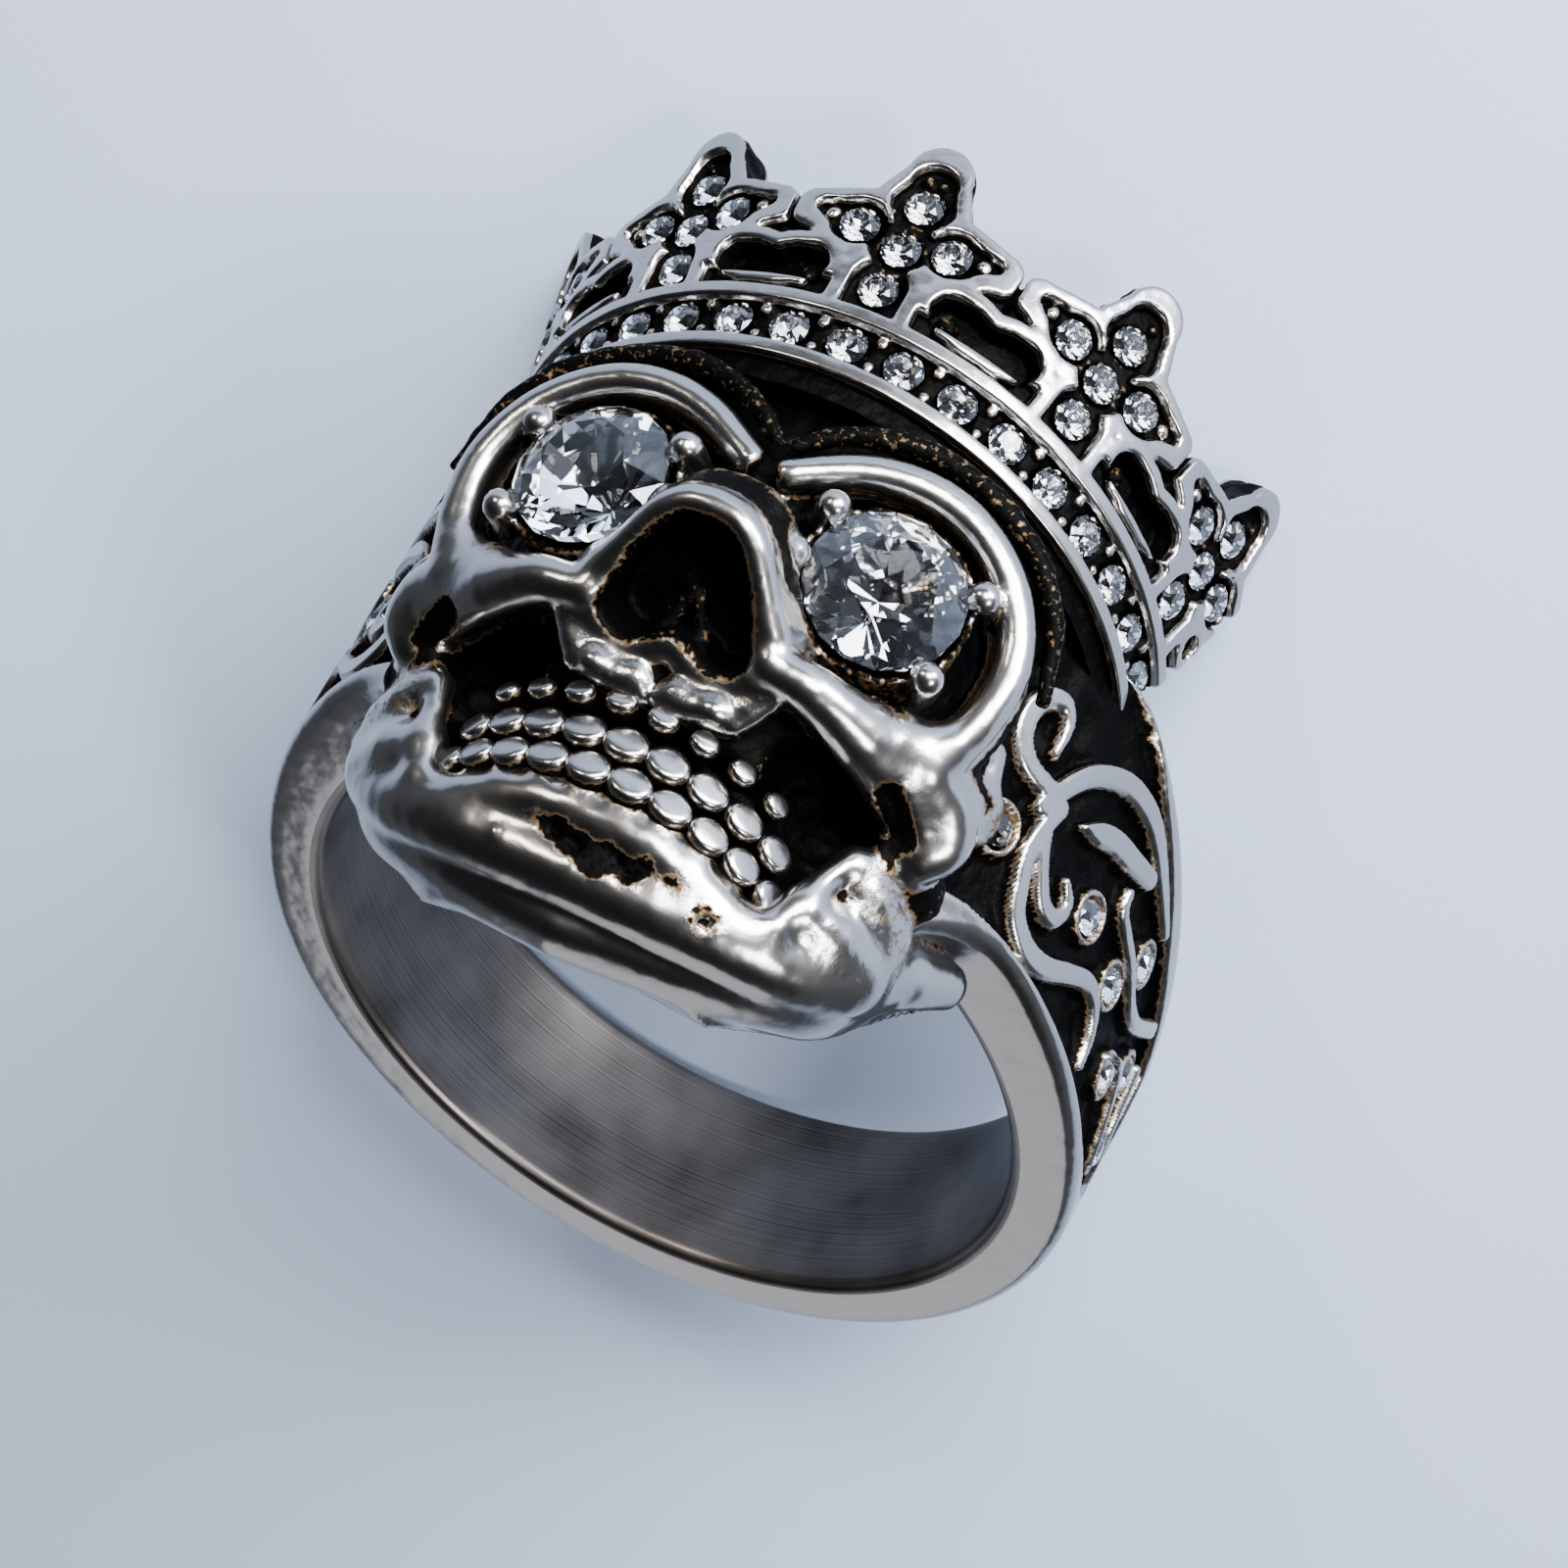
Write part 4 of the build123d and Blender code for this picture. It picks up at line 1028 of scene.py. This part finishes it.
# %% Drawing of the scrolls
DRAWN_AT = 13  # mm from the axis, where the drawing is true to size
SCALE = 0.2269  # mm a degree there
SHOULDER_STONES = [  # degrees from the face, share of the band's width
    (34.0, 0.34), (51.0, 0.50), (66.0, 0.78), (61.5, 0.50), (73.0, 0.36), (80.0, 0.58), (88.0, 0.34)]
SCROLLS = [
    # points (degrees, mm), half widths from start to end
    ([(34.2, 4.45), (33.6, 5.2), (32, 5.45), (30.2, 5.2), (29.4, 4.6), (30.4, 3.95), (33, 3.65), (37, 3.75)],
     (0.16, 0.26, 0.32, 0.3)),
    ([(36.5, 3.3), (38, 4.4), (40, 5.2), (44, 5.95), (49, 6.3), (53, 6.3), (57, 6.15), (61.5, 6.0),
      (66, 5.9)], (0.28, 0.3, 0.34, 0.3, 0.2)),
    ([(42, 4.0), (44, 4.3), (47, 4.75), (51, 5.1), (56, 5.6)], (0.07, 0.34, 0.36, 0.3)),
    ([(37, 3.9), (38.6, 3.0), (40.6, 2.4), (43.6, 1.85), (46.2, 1.9), (46.6, 2.45), (44.6, 2.75)],
     (0.26, 0.26, 0.28, 0.16)),
    ([(38.5, 3.7), (38.2, 3.0), (38.4, 2.3), (40, 1.6), (42, 1.0), (45.5, 0.75), (49, 0.95), (53, 1.6),
      (56.5, 2.1), (60, 2.1), (63, 1.6), (64.5, 0.9)], (0.28, 0.28, 0.3, 0.34, 0.3, 0.24, 0.16)),
    ([(54, 4.6), (55, 4.2), (58, 4.05), (61.5, 4.0), (64.5, 3.85), (68, 3.7), (72, 3.9), (76, 4.5),
      (80, 5.2)], (0.2, 0.22, 0.22, 0.26, 0.3)),
    ([(70, 2.3), (74.5, 2.9), (78, 2.6), (82, 2.0), (86, 1.35)], (0.1, 0.22, 0.2, 0.1)),
    ([(84, 4.4), (88, 3.2), (92, 2.4), (96, 2.2)], (0.2, 0.22, 0.2, 0.1)),
]
FIELD_EDGE = [
    (16, -0.4), (30, -0.3), (36, 0.1), (42, 0.3), (50, 0.4), (62, 0.42), (76, 0.45), (88, 0.7), (96, 1.7),
    (99, 2.8), (97, 4.0), (90, 5.3), (80, 5.75), (70, 5.95), (60, 6.5), (50, 7.0), (42, 7.6), (16, 8.6)]
print("strokes", len(SCROLLS), "stones", len(SHOULDER_STONES))

# %% Scroll relief
SCROLL_DEPTH, CUP_DEPTH, COLLAR_DEPTH = 0.45, 0.75, 0.12
COLLAR_RADIUS, COLLAR_HALF_WIDTH = 0.6, 0.14
S, Z = np.abs(T) * SCALE, level
field = outline_distance(S, Z, np.array(FIELD_EDGE) * (SCALE, 1))
relief = -SCROLL_DEPTH * step_up(-field, -0.02, 0.16)
for line, widths in SCROLLS:
    away = stroke(S, Z, curve(np.array(line) * (SCALE, 1)), widths)
    relief = np.maximum(relief, -SCROLL_DEPTH * step_up(away, -0.1, 0.09))
for turn, share in SHOULDER_STONES:
    height = share * BAND_WIDTH
    far = np.hypot((S - turn * SCALE) * band_surface(turn, height) / DRAWN_AT, Z - height)
    collar = raised(relief, np.abs(far - COLLAR_RADIUS) - COLLAR_HALF_WIDTH, -COLLAR_DEPTH, 0.12)
    relief = np.where(field < 0, collar, relief)
    relief = np.where(far < SEAT_RADIUS, -CUP_DEPTH, relief)
flat = np.stack([DRAWN_AT * np.radians(T), Z, 0 * Z], axis=-1).reshape(-1, 3)
uneven = lumps(flat, 0.5, 5).reshape(T.shape)
ground = (relief < -0.3) & (relief > -0.5)
relief = np.where(ground, relief + 0.14 * np.maximum(uneven, -0.3), relief)
relief = np.where(OUTER == 1, relief, 0)
reach = reach + relief
print("scroll relief", round(float(relief.min()), 2))

# %% The band becomes metal
angle = np.radians(T)
points = np.stack([reach * np.sin(angle), -reach * np.cos(angle), level], axis=-1).reshape(-1, 3)
index = np.arange(T.size).reshape(T.shape)
right, above = np.roll(index, -1, axis=0), np.roll(index, -1, axis=1)
quads = np.stack([index, right, np.roll(right, -1, axis=1), above], axis=-1).reshape(-1, 4)
recess = step_up(-relief, 0.0, 0.3)
band = cast_piece("band", points, quads, recess.reshape(-1), bore_steel_painted_shade)
# faces of the bore take the second material, brushed steel with painted shade
in_bore = np.broadcast_to((rows[:, 0] == 0) & (np.roll(rows[:, 0], -1) == 0), T.shape)
band.data.polygons.foreach_set("material_index", in_bore.reshape(-1).astype(np.int32))
print("faces of the bore", int(in_bore.sum()))

# %% [markdown]
# ## Glass stones
# The stones are foil-backed glass: a clear faceted top over a mirrored back. Light goes in through the
# table, is thrown about by the mirrored pavilion and leaves as the sharp white and dark triangles in
# the photograph. So each stone is one closed mesh with two materials, glass above and foil below.

# %% Materials of a stone
def plain_material(name, colour, inputs):
    """A material that is the same all over."""
    material, tree, shader = new_material(name)
    feed(tree, shader, {"Base Color": linear(colour), **inputs})
    return material


# crystal glass, ground and polished: clear, with sharp facets that sparkle
clear_glass = plain_material("clear_glass", "#F4F6F8", {
    "Roughness": 0.0, "IOR": 1.56, "Transmission Weight": 1.0})
# silver foil on the back of the glass: a mirror that throws the light out again
silver_foil = plain_material("silver_foil", "#E9EAEC", {"Metallic": 1.0, "Roughness": 0.04})
print("stones of", clear_glass.name, "and", silver_foil.name)

# %% Cut of a stone
FACETS = 8
# share of the radius, and height above the girdle as a share of the diameter
TABLE, STAR, GIRDLE_TOP = (0.56, 0.21), (0.80, 0.135), (1.0, 0.05)
GIRDLE, BELLY, CULET = (1.0, 0.0), (0.55, -0.2), (0.0, -0.40)


def brilliant(place, along, out, diameter):
    """Points, glass faces and foil faces of one stone: table, crown facets, girdle and pavilion."""
    across = np.cross(out, along)
    radius, sides = diameter / 2, FACETS

    def ring(count, share, height, turn=0.0):
        angles = 2 * math.pi * (np.arange(count) + turn) / count
        flat = np.outer(np.cos(angles), along) + np.outer(np.sin(angles), across)
        return place + flat * radius * share + np.asarray(out) * height * diameter

    points = np.vstack([
        ring(sides, *TABLE), ring(sides, *STAR, 0.5), ring(2 * sides, *GIRDLE_TOP), ring(2 * sides, *GIRDLE),
        ring(sides, *BELLY, 0.5), ring(1, *CULET)])
    t, s, g, b, p, c = np.cumsum([0, sides, sides, 2 * sides, 2 * sides, sides])
    faces, foil = [list(range(t, t + sides))], []
    for i in range(sides):
        j = (i + 1) % sides
        faces.append((t + i, s + i, t + j))
        faces.append((t + i, s + (i - 1) % sides, g + 2 * i, s + i))
        faces.append((s + i, g + 2 * i, g + 2 * i + 1))
        faces.append((s + i, g + 2 * i + 1, g + 2 * j))
        for k in (2 * i, 2 * i + 1):
            n = (k + 1) % (2 * sides)
            faces.append((g + k, b + k, b + n, g + n))
        foil.append((b + 2 * i, p + i, b + 2 * i + 1))
        foil.append((b + 2 * i + 1, p + i, b + 2 * j))
        foil.append((p + i, b + 2 * j, p + j))
        foil.append((p + i, p + j, c))
    return points, faces, foil


print("faces of a stone", [len(part) for part in brilliant(np.zeros(3), (1, 0, 0), (0, 0, 1), 1.0)[1:]])

# %% Setting stones
def set_stones(name, node, places, diameter):
    """One piece for all the stones of a construction node."""
    points, faces, backs, start = [], [], [], 0
    for place, along, out in places:
        p, f, b = brilliant(place, along, out, diameter)
        points.append(p)
        faces += [tuple(start + v for v in face) for face in f]
        backs += [tuple(start + v for v in face) for face in b]
        start += len(p)
    materials = [clear_glass, silver_foil]
    piece = make_piece(name, np.vstack(points), faces + backs, [node], materials, smooth=False)
    piece.data.polygons.foreach_set("material_index", [0] * len(faces) + [1] * len(backs))


SIDES = (("left", np.array([-1, 1, 1])), ("right", np.array([1, 1, 1])))
for word, flip in SIDES:
    place = (EYE * flip, EYE_ACROSS * flip, EYE_OUT * flip)
    set_stones(f"eye_stone_{word}_glass", f"eye_stone_{word}", [place], EYE_STONE)

# %% Stones of the crown
SMALL_STONE = 1.0
GIRDLE_DEPTH = 0.3


def crown_frame(turn, along, up):
    """Place and directions of a stone on the crown, round the crown's axis by `turn`."""
    tangent = np.array([math.cos(turn), math.sin(turn), 0])
    radial = np.array([math.sin(turn), -math.cos(turn), 0])
    face = radial * math.cos(CROWN_FLARE) - np.array([0, 0, 1]) * math.sin(CROWN_FLARE)
    place = from_crown(turn * CROWN_RADIUS, up, -GIRDLE_DEPTH) + tangent * along
    return place, tangent, face


for i in range(17):
    place = crown_frame((i - 8) * STONE_PITCH, 0.0, 0.0)
    set_stones(f"crown_glass_{i + 1:02d}", f"crown_stone_{i + 1:02d}", [place], SMALL_STONE)
for i in range(5):
    places = [crown_frame((i - 2) * SPIKE_PITCH, a, v) for a, v in SPIKE_STONES]
    set_stones(f"spike_glass_{i + 1}", f"spike_stones_{i + 1}", places, SMALL_STONE)

# %% Stones of the shoulders
for word, flip in SIDES:
    places = []
    for turn, share in SHOULDER_STONES:
        t, height = math.radians(turn), share * BAND_WIDTH
        r = float(band_surface(turn, height))
        wide, deep = band_oval(height)
        at = np.array([r * math.sin(t), -r * math.cos(t), height])
        face = np.array([at[0] / wide**2, at[1] / deep**2, 0])
        face /= np.linalg.norm(face)
        along = np.array([-face[1], face[0], 0])
        places.append(((at - face * SCROLL_DEPTH / 2) * flip, along * flip, face * flip))
    set_stones(f"shoulder_glass_{word}", f"shoulder_stones_{word}", places, SMALL_STONE)

# %% [markdown]
# ## Table, light and camera
# The photograph shows the ring on a pale, cool tabletop under a broad soft light, with long highlights
# along the rims. A grey-blue world gives the metal its middle greys. Soft disc lamps stand where the
# polished rims reflect them: a large window low at the left, small ones for the highlights of brows and
# crown, and a faint card behind that the flat rim of the band mirrors.

# %% Tabletop
bpy.ops.mesh.primitive_plane_add(size=1.6, location=(0, 0, 0))
tabletop = bpy.context.object
tabletop.name = "tabletop"
# matt coated card: no reflections, only soft shadows
tabletop.data.materials.append(plain_material("pale_card", "#A9B8D3", {"Roughness": 0.9}))
print("tabletop is", tabletop.dimensions.x, "m wide")

# %% World
world = bpy.data.worlds.new("pale_room")
world.use_nodes = True
bpy.context.scene.world = world
sky = world.node_tree
direction = add_node(sky, "ShaderNodeTexCoord").outputs["Generated"]
upwards = add_node(sky, "ShaderNodeSeparateXYZ", {"Vector": direction}).outputs["Z"]
# from the horizon to straight overhead
glow = ramp(sky, upwards, [
    (0.0, linear("#9096A0")), (0.25, linear("#A2A8B2")), (0.5, linear("#4E5258")), (1.0, linear("#1C1D20"))])
feed(sky, sky.nodes["Background"], {"Color": glow, "Strength": 0.45})
print("world", world.name)

# %% Lamps
LAMPS = [
    # name, place and diameter in metres, watts, colour
    ("window", (-0.17, -0.24, 0.05), 0.15, 4.2, "#F8FAFF"),
    ("key", (-0.04, -0.125, 0.085), 0.075, 0.7, "#FFFFFF"),
    ("overhead", (-0.22, -0.06, 0.22), 0.08, 0.9, "#FFFFFF"),
    ("far_window", (0.13, -0.22, 0.16), 0.05, 0.35, "#FFF6EA"),
    ("rear_card", (0.02, 0.29, 0.085), 0.2, 0.13, "#F4F6FF"),
]
RING_MIDDLE = Vector((0, 0, 0.009))
for name, place, size, power, colour in LAMPS:
    lamp = bpy.data.lights.new(name, "AREA")
    lamp.shape, lamp.size = "DISK", size
    lamp.energy, lamp.color = power, linear(colour)[:3]
    holder = bpy.data.objects.new(name, lamp)
    bpy.context.collection.objects.link(holder)
    holder.location = place
    holder.rotation_euler = (RING_MIDDLE - Vector(place)).to_track_quat("-Z", "Y").to_euler()
print("lamps", [row[0] for row in LAMPS])

# %% Camera
# the photograph's eye point, what it looks at and its upward direction, in the upright frame
EYE_POINT, LOOK_AT = lay_down([(16.44, -59.19, -37.93), (2.78, -12.0, 0.10)])
UP_WAY = np.array([-0.37912, -0.64467, 0.66383]) @ UPRIGHT
forward = Vector(LOOK_AT - EYE_POINT).normalized()
side_way = forward.cross(Vector(UP_WAY)).normalized()
up_way = side_way.cross(forward)
camera_data = bpy.data.cameras.new("camera")
camera_data.lens, camera_data.sensor_width = 61.41, 36.0
camera_data.clip_start = 0.001
camera = bpy.data.objects.new("camera", camera_data)
bpy.context.collection.objects.link(camera)
rotation = Matrix((side_way, up_way, -forward)).transposed()
camera.matrix_world = Matrix.Translation(Vector(EYE_POINT)) @ rotation.to_4x4()
bpy.context.scene.camera = camera
print("camera height above the table in mm", round(1000 * camera.location.z, 1))
